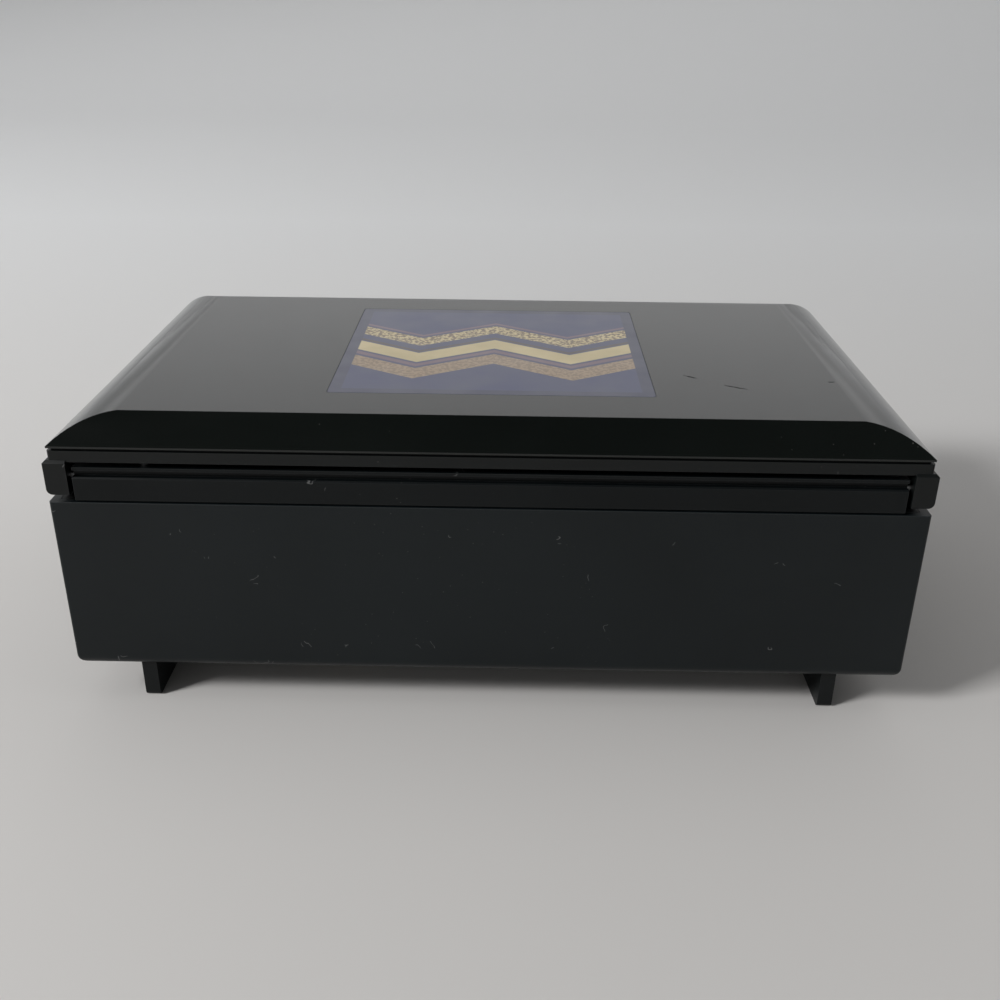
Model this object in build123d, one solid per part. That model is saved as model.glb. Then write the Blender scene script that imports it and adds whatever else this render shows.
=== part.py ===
"""Musical jewellery box: footed case with a front drawer, a compartment tray,
a hinged crowned lid with a mirror, and an eighteen-note wind-up movement.

Millimetres, +Z up. The drawer faces -Y and the lid hinges at +Y.
The origin is at the bottom centre of the whole box, knob included.
"""
from build123d import *
import math
import os

# Case outside
case_width = 230.0
case_depth = 138.0
shell_height = 50.7
wall = 2.4
floor_thickness = 2.4
base_edge_radius = 3.0
cavity_edge_radius = 1.8
corner_radius = 0.8
edge_bevel = 0.4

# Feet: two plates that run from front to back
foot_height = 11.5
foot_thickness = 4.2
foot_inset = 17.0
foot_setback = 2.5
foot_corner_radius = 1.2
foot_screw_count = 2
foot_screw_margin = 20.0
foot_screw_depth = 7.0
foot_screw_sink = 1.3

# Screws and general fits
screw_radius = 1.1
screw_head_radius = 2.1
screw_head_height = 1.2
screw_end_gap = 0.2
fit_gap = 0.15
hole_gap = 0.05
running_gap = 0.05

# Upper frame, from the case mouth upwards
frame_ring = 10.0
mouth_reveal_height = 0.5
mouth_reveal_inset = 1.0
rail_height = 6.5
rail_inset = 0.4
rail_edge_bevel = 0.35
groove_height = 1.7
groove_inset = 2.2
lip_height = 0.9
lip_inset = 1.0
tongue_height = 4.0
tongue_thickness = 1.8
tray_ledge_width = 3.0
tray_flange = 1.2

# Hinge
hinge_from_rear = 4.0
hinge_above_case = 6.5
pin_radius = 1.0
pin_length = 13.0
pin_in_lug = 4.8
lug_width = 5.9
lug_height = 9.0
lug_depth = 7.6
lug_bevel = 0.7
lug_toe_radius = 1.6
lug_side_gap = 1.1
notch_reach = 6.4

# Lid
lid_side_inset = 1.3
lid_end_inset = 0.8
lid_gap = 1.5
lid_ring = 10.0
band_height = 3.1
lid_groove_height = 0.7
lid_groove_inset = 1.0
crown_edge = 0.5
crown_rise = 7.8
crown_side_run = 17.4
crown_front_run = 20.0
crown_rear_run = 6.5
crown_bulge = 1.3
crown_wall = 2.2
lid_ledge_width = 3.0
liner_thickness = 1.2
mirror_width = 150.0
mirror_depth = 84.0
mirror_thickness = 1.6
mirror_corner_radius = 1.5
bezel_width = 3.0
bezel_bevel = 0.8
bumper_radius = 3.0
bumper_inset = 25.0
bumper_gap = 0.1
lid_screw_inset = 5.0
lid_screw_bite = 2.2
lid_boss_radius = 2.9

# Picture panel set flush into the lid top
inlay_width = 89.0
inlay_depth = 82.5
inlay_thickness = 0.8
inlay_corner_radius = 1.0
inlay_rear_offset = -2.0

# Drawer
drawer_width = 196.0
drawer_height = 24.0
drawer_depth = 80.0
drawer_above_floor = 2.6
drawer_front_thickness = 4.0
drawer_gap = 0.5
drawer_wall = 2.0
drawer_base = 2.0
drawer_box_drop = 3.0
drawer_lining_thickness = 1.0
drawer_divider_count = 2
drawer_divider_height = 12.0
drawer_divider_thickness = 1.6
knob_radius = 6.5
knob_neck_radius = 3.0
knob_foot_radius = 4.2
knob_foot_thickness = 1.2
knob_neck_from_front = 3.6
knob_rim_drop = 3.6
knob_rim_bevel = 1.0
knob_reach = 12.0
knob_dome_height = 1.2
knob_screw_bite = 5.4
runner_width = 5.0
runner_height = 9.0
runner_lip = 2.0
runner_gap = 0.15
drawer_screw_spread = 120.0
drawer_screw_bite = 2.8

# Compartment tray
tray_floor_height = 32.5
tray_wall = 1.8
tray_floor = 1.6
tray_corner_radius = 5.0
tray_split_left = -20.0
tray_ring_zone_depth = 44.0
tray_front_zone_depth = 66.0
ring_roll_count = 3
ring_roll_height = 15.0
ring_roll_gap = 0.4
ring_roll_end_gap = 4.0
ring_roll_draw_in = 0.6
window_thickness = 1.5
window_ledge = 3.0

# Movement, on posts on the case floor
movement_from_side = 57.0
movement_from_rear = 32.0
movement_to_split = 30.0
post_height = 2.6
post_radius = 3.0
post_inset = 3.5
bed_length = 72.0
bed_width = 40.0
bed_thickness = 2.0
bed_corner_radius = 1.6
bed_left = 27.5
bed_slot_gap = 0.3
cylinder_radius = 6.2
note_count = 18
note_pitch = 1.0
cylinder_height = 7.6
cylinder_left = 3.6
pin_row_count = 5
note_pin_size = 0.36
note_pin_reach = 0.6
note_pin_root = 0.6
note_turn = 48.6
note_scatter = 18.0
shaft_radius = 1.0
bearing_thickness = 1.8
bearing_width = 7.0
comb_thickness = 1.0
comb_tooth_length = 7.6
comb_tooth_width = 0.72
comb_tip_width = 0.52
comb_base_depth = 5.0
comb_tip_gap = 0.15
comb_margin = 1.4

# Spring housing and the crown wheel above it
housing_x = -14.0
housing_radius = 11.4
housing_height = 13.4
housing_wall = 1.0
housing_bevel = 1.0
spring_inner_radius = 4.7
arbor_radius = 1.7
arbor_flange_radius = 3.2
arbor_flange = 1.0
crown_teeth = 30
crown_inner_radius = 12.2
crown_outer_radius = 14.4
crown_plate = 1.0
crown_tooth_height = 1.3
crown_tooth_width = 1.1
end_gear_teeth = 14
end_gear_tooth_height = 1.3
end_gear_tooth_width = 1.1
end_gear_tooth_bevel = 0.27
end_gear_width = 1.6
mesh_depth = 0.7

# Key under the base
key_neck_radius = 2.6
key_wing_span = 22.0
key_wing_height = 7.6
key_wing_radius = 3.0
key_wing_hole_place = 6.8
key_wing_hole_radius = 1.5
key_thickness = 2.0
key_floor_gap = 1.4
key_hole_gap = 0.5

# Governor train
gear_module = 0.4
drive_teeth = 40
pinion_teeth = 10
worm_wheel_teeth = 20
gear_face = 1.4
pinion_angle = 30.0
gear_backlash = 0.14
tooth_root_depth = 1.2
tooth_root_share = 0.62
tooth_tip_share = 0.3
drive_gear_gap = 1.8
worm_wheel_gap = 2.7
governor_shaft_radius = 0.6
bracket_wall = 1.2
bracket_gap = 0.9
bracket_reach = 2.75
top_arm_gap = 0.45
worm_core_radius = 0.75
worm_outer_radius = 1.35
worm_root_width = 0.54
worm_tip_width = 0.34
worm_turns = 2.5
fly_shaft_radius = 0.5
fly_rise = 6.6
blade_span = 5.2
blade_height = 4.2
blade_thickness = 0.4

# Stop plunger worked by the lid
plunger_radius = 1.4
plunger_inset = 5.2
plunger_tip_gap = 0.1
plunger_tip_bevel = 0.7
stop_wire = 0.8
stop_wire_gap = 0.4

# Levels and places that follow from the sizes above
shell_bottom = foot_height
shell_top = shell_bottom + shell_height
floor_top = shell_bottom + floor_thickness
rail_bottom = shell_top + mouth_reveal_height
rail_top = rail_bottom + rail_height
groove_top = rail_top + groove_height
frame_top = groove_top + lip_height
lid_bottom = frame_top + lid_gap
band_top = lid_bottom + band_height
crown_bottom = band_top + lid_groove_height
crown_top = crown_bottom + crown_edge + crown_rise
half_width = case_width / 2
half_depth = case_depth / 2
rear_inner = half_depth - frame_ring
hinge_y = half_depth - hinge_from_rear
hinge_z = shell_top + hinge_above_case
notch_x = half_width - lug_width - lug_side_gap
lid_half_width = half_width - lid_side_inset
lid_half_depth = half_depth - lid_end_inset
tray_bottom = floor_top + tray_floor_height
tray_top = frame_top - fit_gap
movement_x = half_width - movement_from_side
movement_y = half_depth - movement_from_rear
tray_split_right = movement_x - movement_to_split
bed_bottom = floor_top + post_height
bed_top = bed_bottom + bed_thickness
cylinder_z = bed_top + cylinder_height
cylinder_length = note_count * note_pitch
cylinder_right = cylinder_left + cylinder_length
drawer_bottom = floor_top + drawer_above_floor
drawer_front_y = -half_depth


def block(x0, x1, y0, y1, z0, z1):
    """Box between two opposite corners."""
    centre = ((x0 + x1) / 2, (y0 + y1) / 2, (z0 + z1) / 2)
    return Pos(*centre) * Box(abs(x1 - x0), abs(y1 - y0), abs(z1 - z0))


def rod(x, y, z, radius, length):
    """Upright cylinder that stands on z."""
    return Pos(x, y, z + length / 2) * Cylinder(radius, length)


def rod_x(x, y, z, radius, length):
    """Cylinder that runs from x towards +X."""
    return Pos(x + length / 2, y, z) * Rot(0, 90, 0) * Cylinder(radius, length)


def rod_y(x, y, z, radius, length):
    """Cylinder that runs from y towards +Y."""
    return Pos(x, y + length / 2, z) * Rot(90, 0, 0) * Cylinder(radius, length)


def slab(half_x, half_y, z0, z1, radius=0.0):
    """Centred plate with round upright corners."""
    width = 2 * half_x
    depth = 2 * half_y
    outline = RectangleRounded(width, depth, radius) if radius else Rectangle(width, depth)
    return extrude(Pos(0, 0, z0) * outline, z1 - z0)


def screw(x, y, z, length, turn=0.0):
    """Flat-headed screw with its head's underside at z, shank upwards; turn 180 points it down."""
    shank = rod(0, 0, 0, screw_radius, length)
    head = rod(0, 0, -screw_head_height, screw_head_radius, screw_head_height)
    return Pos(x, y, z) * Rot(turn, 0, 0) * (shank + head)


def spread(count, first, last):
    """Evenly spaced places from first to last."""
    return [first + (last - first) * i / (count - 1) for i in range(count)]


def foot_centres():
    """X of each foot's middle."""
    middle = half_width - foot_inset - foot_thickness / 2
    return {"left_foot": -middle, "right_foot": middle}


def foot_screw_places():
    """Screws that hold both feet, driven down from inside the case."""
    reach = half_depth - foot_setback - foot_screw_margin
    return [(x, y) for x in foot_centres().values() for y in spread(foot_screw_count, -reach, reach)]


def movement_posts():
    """Post places under the bedplate, in case coordinates."""
    left = movement_x - bed_left + post_inset
    right = movement_x - bed_left + bed_length - post_inset
    reach = bed_width / 2 - post_inset
    return [(x, movement_y + y) for x in (left, right) for y in (-reach, reach)]


def lid_screw_places():
    """Four screws, one near each corner of the lid ring."""
    x = lid_half_width - lid_screw_inset
    y = lid_half_depth - lid_screw_inset
    return [(px, py) for px in (-x, x) for py in (-y, y)]


def lower_case():
    """Open-topped shell with the drawer opening, key hole, posts and screw holes."""
    shell = slab(half_width, half_depth, shell_bottom, shell_top, corner_radius)
    low_sides = shell.edges().filter_by(Axis.Y).group_by(Axis.Z)[0]
    shell = fillet(low_sides, base_edge_radius)
    inner_x = half_width - wall
    inner_y = half_depth - wall
    cavity = block(-inner_x, inner_x, -inner_y, inner_y, floor_top, shell_top + wall)
    shell -= fillet(cavity.edges().filter_by(Axis.Y).group_by(Axis.Z)[0], cavity_edge_radius)
    opening_x = drawer_width / 2 + drawer_gap
    shell -= block(-opening_x, opening_x, -half_depth - wall, -inner_y + wall,
                   drawer_bottom - drawer_gap, drawer_bottom + drawer_height + drawer_gap)
    for x, y in movement_posts():
        shell += rod(x, y, floor_top, post_radius, post_height)
        shell -= rod(x, y, floor_top, screw_radius + hole_gap, 2 * post_height)
    for x, y in foot_screw_places():
        shell -= rod(x, y, shell_bottom - wall, screw_radius + hole_gap, 2 * wall + floor_thickness)
        shell -= rod(x, y, floor_top - foot_screw_sink, screw_head_radius + fit_gap, 2 * floor_thickness)
    key_x, key_y = key_axis()
    shell -= rod(key_x, key_y, shell_bottom - wall, key_neck_radius + key_hole_gap, 4 * wall)
    return shell


def foot(x):
    """Plate foot with rounded lower corners and pilot holes for its screws."""
    reach = half_depth - foot_setback
    plate = block(x - foot_thickness / 2, x + foot_thickness / 2, -reach, reach, 0, foot_height)
    low_ends = plate.edges().filter_by(Axis.X).group_by(Axis.Z)[0]
    plate = fillet(low_ends, foot_corner_radius)
    for px, py in foot_screw_places():
        if math.isclose(px, x):
            plate -= rod(px, py, foot_height - foot_screw_depth, screw_radius + hole_gap, foot_screw_depth)
    return plate


def foot_screws():
    """Screws from the case floor down into the feet."""
    length = floor_thickness - foot_screw_sink + foot_screw_depth - screw_head_height
    return [screw(x, y, floor_top - foot_screw_sink, length, 180) for x, y in foot_screw_places()]


def upper_frame():
    """Frame on the case mouth: tongue, rail, reveal groove and lip, notched for the lid lugs."""
    tongue_x = half_width - wall - fit_gap
    tongue_y = half_depth - wall - fit_gap
    frame = slab(tongue_x, tongue_y, shell_top - tongue_height, shell_top)
    frame -= slab(tongue_x - tongue_thickness, tongue_y - tongue_thickness,
                  shell_top - tongue_height - wall, shell_top)
    tiers = (
        (mouth_reveal_inset, shell_top, rail_bottom),
        (rail_inset, rail_bottom, rail_top),
        (groove_inset, rail_top, groove_top),
        (lip_inset, groove_top, frame_top),
    )
    inner_x = half_width - frame_ring
    body = None
    for inset, z0, z1 in tiers:
        tier = slab(half_width - inset, half_depth - inset, z0, z1, corner_radius)
        if inset == rail_inset:
            tier = chamfer(tier.edges().group_by(Axis.Z)[-1], rail_edge_bevel)
        body = tier if body is None else body + tier
    body -= slab(inner_x, rear_inner, shell_top - wall, frame_top + wall)
    body -= slab(inner_x + tray_ledge_width, rear_inner + tray_ledge_width,
                 frame_top - fit_gap - tray_flange, frame_top + wall)
    frame = frame + body
    for side in (-1, 1):
        outer = side * (half_width + wall)
        frame -= block(side * notch_x, outer, hinge_y - notch_reach, half_depth + wall,
                       shell_top, frame_top + wall)
        start = side * notch_x if side < 0 else notch_x - pin_length + lug_side_gap + pin_in_lug
        frame -= rod_x(start, hinge_y, hinge_z, pin_radius + hole_gap, pin_length - lug_side_gap - pin_in_lug)
    frame -= rod(plunger_place()[0], plunger_place()[1], shell_top - tongue_height - wall,
                 plunger_radius + running_gap, frame_top)
    return frame


def hinge_pins():
    """Pins held in the rail ends that carry the lid lugs."""
    outer = notch_x + lug_side_gap + pin_in_lug
    return [rod_x(start, hinge_y, hinge_z, pin_radius, pin_length) for start in (-outer, outer - pin_length)]


def tray_pockets():
    """Pocket rectangles (x0, x1, y0, y1) in the tray; the last one lies over the movement."""
    outer_x = half_width - frame_ring - fit_gap
    outer_y = rear_inner - fit_gap
    left, right = -outer_x + tray_wall, outer_x - tray_wall
    front, rear = -outer_y + tray_wall, outer_y - tray_wall
    ring_end = front + tray_ring_zone_depth
    front_end = front + tray_front_zone_depth
    step = tray_wall / 2
    return [
        (left, tray_split_left - step, front, ring_end),
        (left, tray_split_left - step, ring_end + tray_wall, rear),
        (tray_split_left + step, right, front, front_end),
        (tray_split_left + step, tray_split_right - step, front_end + tray_wall, rear),
        (tray_split_right + step, right, front_end + tray_wall, rear),
    ]


def jewel_tray():
    """Compartment tray hung in the frame by its flange, with a ledged window over the movement."""
    outer_x = half_width - frame_ring - fit_gap
    outer_y = rear_inner - fit_gap
    flange_x = outer_x + tray_ledge_width
    flange_y = outer_y + tray_ledge_width
    tray = slab(outer_x, outer_y, tray_bottom, tray_top)
    tray += slab(flange_x, flange_y, tray_top - tray_flange, tray_top)
    for x0, x1, y0, y1 in tray_pockets():
        pocket = block(x0, x1, y0, y1, tray_bottom + tray_floor, tray_top + tray_wall)
        tray -= fillet(pocket.edges().filter_by(Axis.Z), tray_corner_radius)
    x0, x1, y0, y1 = tray_pockets()[-1]
    tray -= block(x0 + window_ledge, x1 - window_ledge, y0 + window_ledge, y1 - window_ledge,
                  tray_bottom - tray_floor, tray_bottom + 2 * tray_floor)
    return tray


def movement_window():
    """Clear plate that lies on the ledge over the movement."""
    x0, x1, y0, y1 = tray_pockets()[-1]
    z0 = tray_bottom + tray_floor
    plate = block(x0 + fit_gap, x1 - fit_gap, y0 + fit_gap, y1 - fit_gap, z0, z0 + window_thickness)
    return fillet(plate.edges().filter_by(Axis.Z), tray_corner_radius - fit_gap)


def ring_roll(x0, x1, y0, y1, z0):
    """Long cushion with a crowned top and sides drawn in at the foot."""
    height = ring_roll_height
    middle = (y0 + y1) / 2
    low = z0 + height - (y1 - y0) / 2
    with BuildPart() as roll:
        with BuildSketch(Plane.YZ.offset(x0)):
            with BuildLine():
                base = Line((y0 + ring_roll_draw_in, z0), (y1 - ring_roll_draw_in, z0))
                right = Line(base @ 1, (y1, low))
                top = ThreePointArc(right @ 1, (middle, z0 + height), (y0, low))
                Line(top @ 1, base @ 0)
            make_face()
        extrude(amount=x1 - x0)
    return roll.part


def ring_rolls():
    """Padded rolls side by side; rings are held between them."""
    x0, x1, y0, y1 = tray_pockets()[0]
    pitch = (y1 - y0) / ring_roll_count
    z0 = tray_bottom + tray_floor + ring_roll_gap
    gap = ring_roll_gap
    end = ring_roll_end_gap
    return [ring_roll(x0 + end, x1 - end, y0 + i * pitch + gap, y0 + (i + 1) * pitch - gap, z0)
            for i in range(ring_roll_count)]


def drawer_runners():
    """Angle runners on the case floor, one outside each drawer side."""
    y0 = drawer_front_y + drawer_front_thickness + drawer_gap
    y1 = y0 + drawer_depth
    inner = drawer_width / 2 - drawer_box_drop + runner_gap
    runners = []
    for side in (-1, 1):
        outer = side * (inner + runner_width)
        rail = block(side * inner, outer, y0, y1, floor_top, floor_top + runner_height)
        lip = block(side * (inner - runner_lip), side * inner, y0, y1, floor_top, drawer_bottom - runner_gap)
        runners.append(rail + lip)
    return runners


def drawer_box():
    """Open drawer box, drilled through its front wall for the panel and knob screws."""
    half = drawer_width / 2 - drawer_box_drop
    y0 = drawer_front_y + drawer_front_thickness
    y1 = y0 + drawer_depth
    z1 = drawer_bottom + drawer_height - drawer_box_drop
    box = block(-half, half, y0, y1, drawer_bottom, z1)
    box -= block(-half + drawer_wall, half - drawer_wall, y0 + drawer_wall, y1 - drawer_wall,
                 drawer_bottom + drawer_base, z1 + drawer_wall)
    for x in (-drawer_screw_spread / 2, 0, drawer_screw_spread / 2):
        box -= rod_y(x, y0 - drawer_wall, drawer_screw_z(), screw_radius + hole_gap, 3 * drawer_wall)
    return box


def drawer_screw_z():
    """Height of the knob and of the screws in the drawer front."""
    return drawer_bottom + drawer_height / 2


def drawer_front():
    """Front panel flush with the case, with blind screw holes and a knob hole."""
    half = drawer_width / 2
    y0 = drawer_front_y
    y1 = y0 + drawer_front_thickness
    panel = block(-half, half, y0, y1, drawer_bottom, drawer_bottom + drawer_height)
    panel = chamfer(panel.faces().sort_by(Axis.Y)[0].edges(), edge_bevel)
    depth = drawer_screw_bite + screw_end_gap
    for x in (-drawer_screw_spread / 2, drawer_screw_spread / 2):
        panel -= rod_y(x, y1 - depth, drawer_screw_z(), screw_radius + hole_gap, depth)
    through = 2 * wall + drawer_front_thickness
    return panel - rod_y(0, y0 - wall, drawer_screw_z(), screw_radius + hole_gap, through)


def drawer_lining():
    """Cloth-covered card that lines the drawer floor."""
    half = drawer_width / 2 - drawer_box_drop - drawer_wall - fit_gap
    y0 = drawer_front_y + drawer_front_thickness + drawer_wall + fit_gap
    y1 = y0 + drawer_depth - 2 * drawer_wall - 2 * fit_gap
    z0 = drawer_bottom + drawer_base
    return block(-half, half, y0, y1, z0, z0 + drawer_lining_thickness)


def drawer_dividers():
    """Cross partitions that stand on the drawer lining."""
    half = drawer_width / 2 - drawer_box_drop - drawer_wall
    y0 = drawer_front_y + drawer_front_thickness + drawer_wall + fit_gap
    y1 = y0 + drawer_depth - 2 * drawer_wall - 2 * fit_gap
    z0 = drawer_bottom + drawer_base + drawer_lining_thickness
    places = spread(drawer_divider_count + 2, -half, half)[1:-1]
    thick = drawer_divider_thickness / 2
    return [block(x - thick, x + thick, y0, y1, z0, z0 + drawer_divider_height) for x in places]


def drawer_knob():
    """Turned knob: foot, waisted neck, full rim and a shallow point, drilled for its screw."""
    profile = Polygon(
        (0, 0),
        (knob_foot_radius, 0),
        (knob_foot_radius, knob_foot_thickness),
        (knob_neck_radius, knob_neck_from_front),
        (knob_radius, knob_reach - knob_rim_drop),
        (knob_radius - knob_rim_bevel, knob_reach - knob_dome_height),
        (0, knob_reach),
        align=None,
    )
    turned = revolve(Plane.XZ * profile, Axis.Z)
    knob = Pos(0, drawer_front_y, drawer_screw_z()) * Rot(90, 0, 0) * turned
    depth = knob_screw_bite + screw_end_gap
    return knob - rod_y(0, drawer_front_y - depth, drawer_screw_z(), screw_radius + hole_gap, depth)


def drawer_screws():
    """Two screws hold the front panel, the middle one holds the knob."""
    head_y = drawer_front_y + drawer_front_thickness + drawer_wall
    short = drawer_wall + drawer_screw_bite
    long = drawer_wall + drawer_front_thickness + knob_screw_bite
    places = ((-drawer_screw_spread / 2, short), (0, long), (drawer_screw_spread / 2, short))
    return [Pos(x, head_y, drawer_screw_z()) * Rot(90, 0, 0) * screw(0, 0, 0, length) for x, length in places]


def crown_form(inset, drop, base_z):
    """Crowned block with a flat top and rear slope and bulging sides, shrunk by inset and lowered by drop."""
    half_x = lid_half_width - inset
    half_y = lid_half_depth - inset
    edge_z = crown_bottom + crown_edge
    top_z = crown_top - drop
    top_x = lid_half_width - crown_side_run - inset / 2
    rear_top = lid_half_depth - crown_rear_run - inset
    front_top = -lid_half_depth + crown_front_run + inset / 2
    side_mid = ((half_x + top_x) / 2 + crown_bulge / 2, (edge_z + top_z) / 2 + crown_bulge)
    front_mid = ((-half_y + front_top) / 2 - crown_bulge / 2, (edge_z + top_z) / 2 + crown_bulge)
    with BuildPart() as across:
        with BuildSketch(Plane.XZ.offset(-half_depth)):
            with BuildLine():
                low = Polyline((-half_x, edge_z), (-half_x, base_z), (half_x, base_z), (half_x, edge_z))
                right = ThreePointArc(low @ 1, side_mid, (top_x, top_z))
                flat = Line(right @ 1, (-top_x, top_z))
                ThreePointArc(flat @ 1, (-side_mid[0], side_mid[1]), low @ 0)
            make_face()
        extrude(amount=case_depth)
    with BuildPart() as along:
        with BuildSketch(Plane.YZ.offset(-half_width)):
            with BuildLine():
                low = Polyline((-half_y, edge_z), (-half_y, base_z), (half_y, base_z), (half_y, edge_z))
                rear = Line(low @ 1, (rear_top, top_z))
                flat = Line(rear @ 1, (front_top, top_z))
                ThreePointArc(flat @ 1, front_mid, low @ 0)
            make_face()
        extrude(amount=case_width)
    return across.part & along.part


def lid_cover():
    """Hollow crown with screw bosses and a flush seat for the picture panel."""
    cover = crown_form(0, 0, crown_bottom)
    hollow = crown_form(crown_wall, crown_wall, crown_bottom - crown_wall)
    cover -= hollow
    for x, y in lid_screw_places():
        boss = rod(x, y, crown_bottom, lid_boss_radius, crown_rise) & crown_form(0, crown_wall, crown_bottom)
        cover += boss
        cover -= rod(x, y, crown_bottom - wall, screw_radius + hole_gap, wall + lid_screw_bite)
    seat_x = inlay_width / 2 + fit_gap
    seat_y = inlay_depth / 2 + fit_gap
    seat = slab(seat_x, seat_y, crown_top - inlay_thickness, crown_top + wall, inlay_corner_radius)
    return cover - Pos(0, inlay_y(), 0) * seat


def inlay_y():
    """Middle of the lid's flat top, moved back by the panel's own offset."""
    front_top = -lid_half_depth + crown_front_run
    rear_top = lid_half_depth - crown_rear_run
    return (front_top + rear_top) / 2 + inlay_rear_offset


def picture_inlay():
    """Thin picture panel, flush with the lid top."""
    low = crown_top - inlay_thickness
    plate = slab(inlay_width / 2, inlay_depth / 2, low, crown_top, inlay_corner_radius)
    return Pos(0, inlay_y(), 0) * plate


def lug(side):
    """Hinge lug under one rear corner of the lid, bevelled above, rounded below at its outer side."""
    x1 = side * half_width
    x0 = side * (half_width - lug_width)
    top = lid_bottom - fit_gap + lug_bevel
    body = block(x0, x1, half_depth - lug_depth, half_depth, lid_bottom - lug_height, top)
    toe = body.edges().filter_by(Axis.Y).group_by(Axis.Z)[0]
    body = fillet(toe.sort_by(Axis.X)[-1 if side > 0 else 0], lug_toe_radius)
    upper = body.faces().sort_by(Axis.Z)[-1].edges()
    outer_edges = [upper.sort_by(Axis.X)[-1 if side > 0 else 0], upper.sort_by(Axis.Y)[-1]]
    return chamfer(outer_edges, lug_bevel)


def lid_frame():
    """Rim band with an inset reveal, a ledge for the liner, and the two hinge lugs."""
    band = slab(lid_half_width, lid_half_depth, lid_bottom, band_top, corner_radius)
    groove_x = lid_half_width - lid_groove_inset
    groove_y = lid_half_depth - lid_groove_inset
    frame = band + slab(groove_x, groove_y, band_top, crown_bottom)
    inner_x = lid_half_width - lid_ring
    inner_y = lid_half_depth - lid_ring
    frame -= slab(inner_x, inner_y, lid_bottom - wall, crown_bottom + wall)
    ledge_x = inner_x + lid_ledge_width
    ledge_y = inner_y + lid_ledge_width
    frame -= slab(ledge_x, ledge_y, crown_bottom - liner_seat(), crown_bottom + wall)
    for side in (-1, 1):
        frame += lug(side)
        start = side * (half_width - lug_width) + (0 if side > 0 else -pin_in_lug)
        frame -= rod_x(start, hinge_y, hinge_z, pin_radius + running_gap, pin_in_lug + hole_gap)
    for x, y in lid_screw_places():
        frame -= rod(x, y, lid_bottom - wall, screw_radius + hole_gap, case_depth)
        sunk = wall + screw_head_height + fit_gap
        frame -= rod(x, y, lid_bottom - wall, screw_head_radius + fit_gap, sunk)
    return frame


def liner_seat():
    """Depth of the rebate that the liner lies in."""
    return liner_thickness + hole_gap


def liner_bottom():
    """Height of the liner's underside."""
    return crown_bottom - liner_seat()


def lid_liner():
    """Card that closes the lid's hollow and carries the mirror."""
    half_x = lid_half_width - lid_ring + lid_ledge_width - fit_gap
    half_y = lid_half_depth - lid_ring + lid_ledge_width - fit_gap
    return slab(half_x, half_y, liner_bottom(), liner_bottom() + liner_thickness)


def mirror():
    """Glass plate under the liner."""
    low = liner_bottom() - mirror_thickness
    return slab(mirror_width / 2, mirror_depth / 2, low, liner_bottom(), mirror_corner_radius)


def mirror_bezel():
    """Narrow frame round the mirror's edge, bevelled below."""
    low = liner_bottom() - mirror_thickness
    half_x = mirror_width / 2
    half_y = mirror_depth / 2
    outer_radius = mirror_corner_radius + bezel_width
    outer = slab(half_x + bezel_width, half_y + bezel_width, low, liner_bottom(), outer_radius)
    outer = chamfer(outer.edges().group_by(Axis.Z)[0], bezel_bevel)
    return outer - slab(half_x + hole_gap, half_y + hole_gap, low - wall, crown_top, mirror_corner_radius)


def lid_screws():
    """Screws up through the lid ring into the crown's bosses."""
    seat_z = lid_bottom + screw_head_height + fit_gap
    length = crown_bottom - seat_z + lid_screw_bite - hole_gap
    return [screw(x, y, seat_z, length) for x, y in lid_screw_places()]


def lid_bumpers():
    """Round pads under the lid's front corners that meet the frame's lip."""
    x = lid_half_width - lid_ring / 2
    y = -lid_half_depth + lid_ring / 2
    height = lid_gap - bumper_gap
    return [rod(side * (x - bumper_inset), y, lid_bottom - height, bumper_radius, height) for side in (-1, 1)]


def key_axis():
    """Place of the winding arbor."""
    return movement_x + housing_x, movement_y


def mesh_angle():
    """Direction from the cylinder to the governor pinion, seen along X."""
    return math.radians(pinion_angle)


def gear_radius(teeth):
    """Pitch radius of a spur gear."""
    return gear_module * teeth / 2


def pinion_place():
    """Y and Z of the governor shaft."""
    reach = gear_radius(drive_teeth) + gear_radius(pinion_teeth)
    return movement_y + reach * math.cos(mesh_angle()), cylinder_z + reach * math.sin(mesh_angle())


def train_levels():
    """X of the drive gear, of the worm wheel and of the governor bracket's walls."""
    gear_x = movement_x + cylinder_right + bearing_thickness + drive_gear_gap
    inner_wall = gear_x + gear_face + bracket_gap
    wheel_x = inner_wall + bracket_wall + worm_wheel_gap
    outer_wall = wheel_x + gear_face + worm_wheel_gap
    return gear_x, inner_wall, wheel_x, outer_wall


def fly_place():
    """X and Y of the upright fly shaft, beside the worm wheel."""
    _, _, wheel_x, _ = train_levels()
    reach = gear_radius(worm_wheel_teeth) + (worm_core_radius + worm_outer_radius) / 2 + hole_gap
    return wheel_x + gear_face / 2, pinion_place()[0] + reach


def plunger_place():
    """X and Y of the stop plunger, in the rear rail beside the fly."""
    return fly_place()[0], half_depth - plunger_inset


def spur(teeth, width, slack=gear_backlash):
    """Spur gear on +Z: trapezoid teeth on a disc, thinned by slack for running."""
    pitch_radius = gear_radius(teeth)
    root = pitch_radius - tooth_root_depth * gear_module
    tip = pitch_radius + gear_module
    half_pitch = math.pi * gear_module / 2
    half_root = half_pitch * tooth_root_share
    half_tip = half_pitch * tooth_tip_share
    sink = gear_module / 2
    tooth = Polygon((root - sink, -half_root + slack), (tip, -half_tip + slack / 2),
                    (tip, half_tip - slack / 2), (root - sink, half_root - slack), align=None)
    return extrude(Circle(root) + PolarLocations(0, teeth) * tooth, width)


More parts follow.
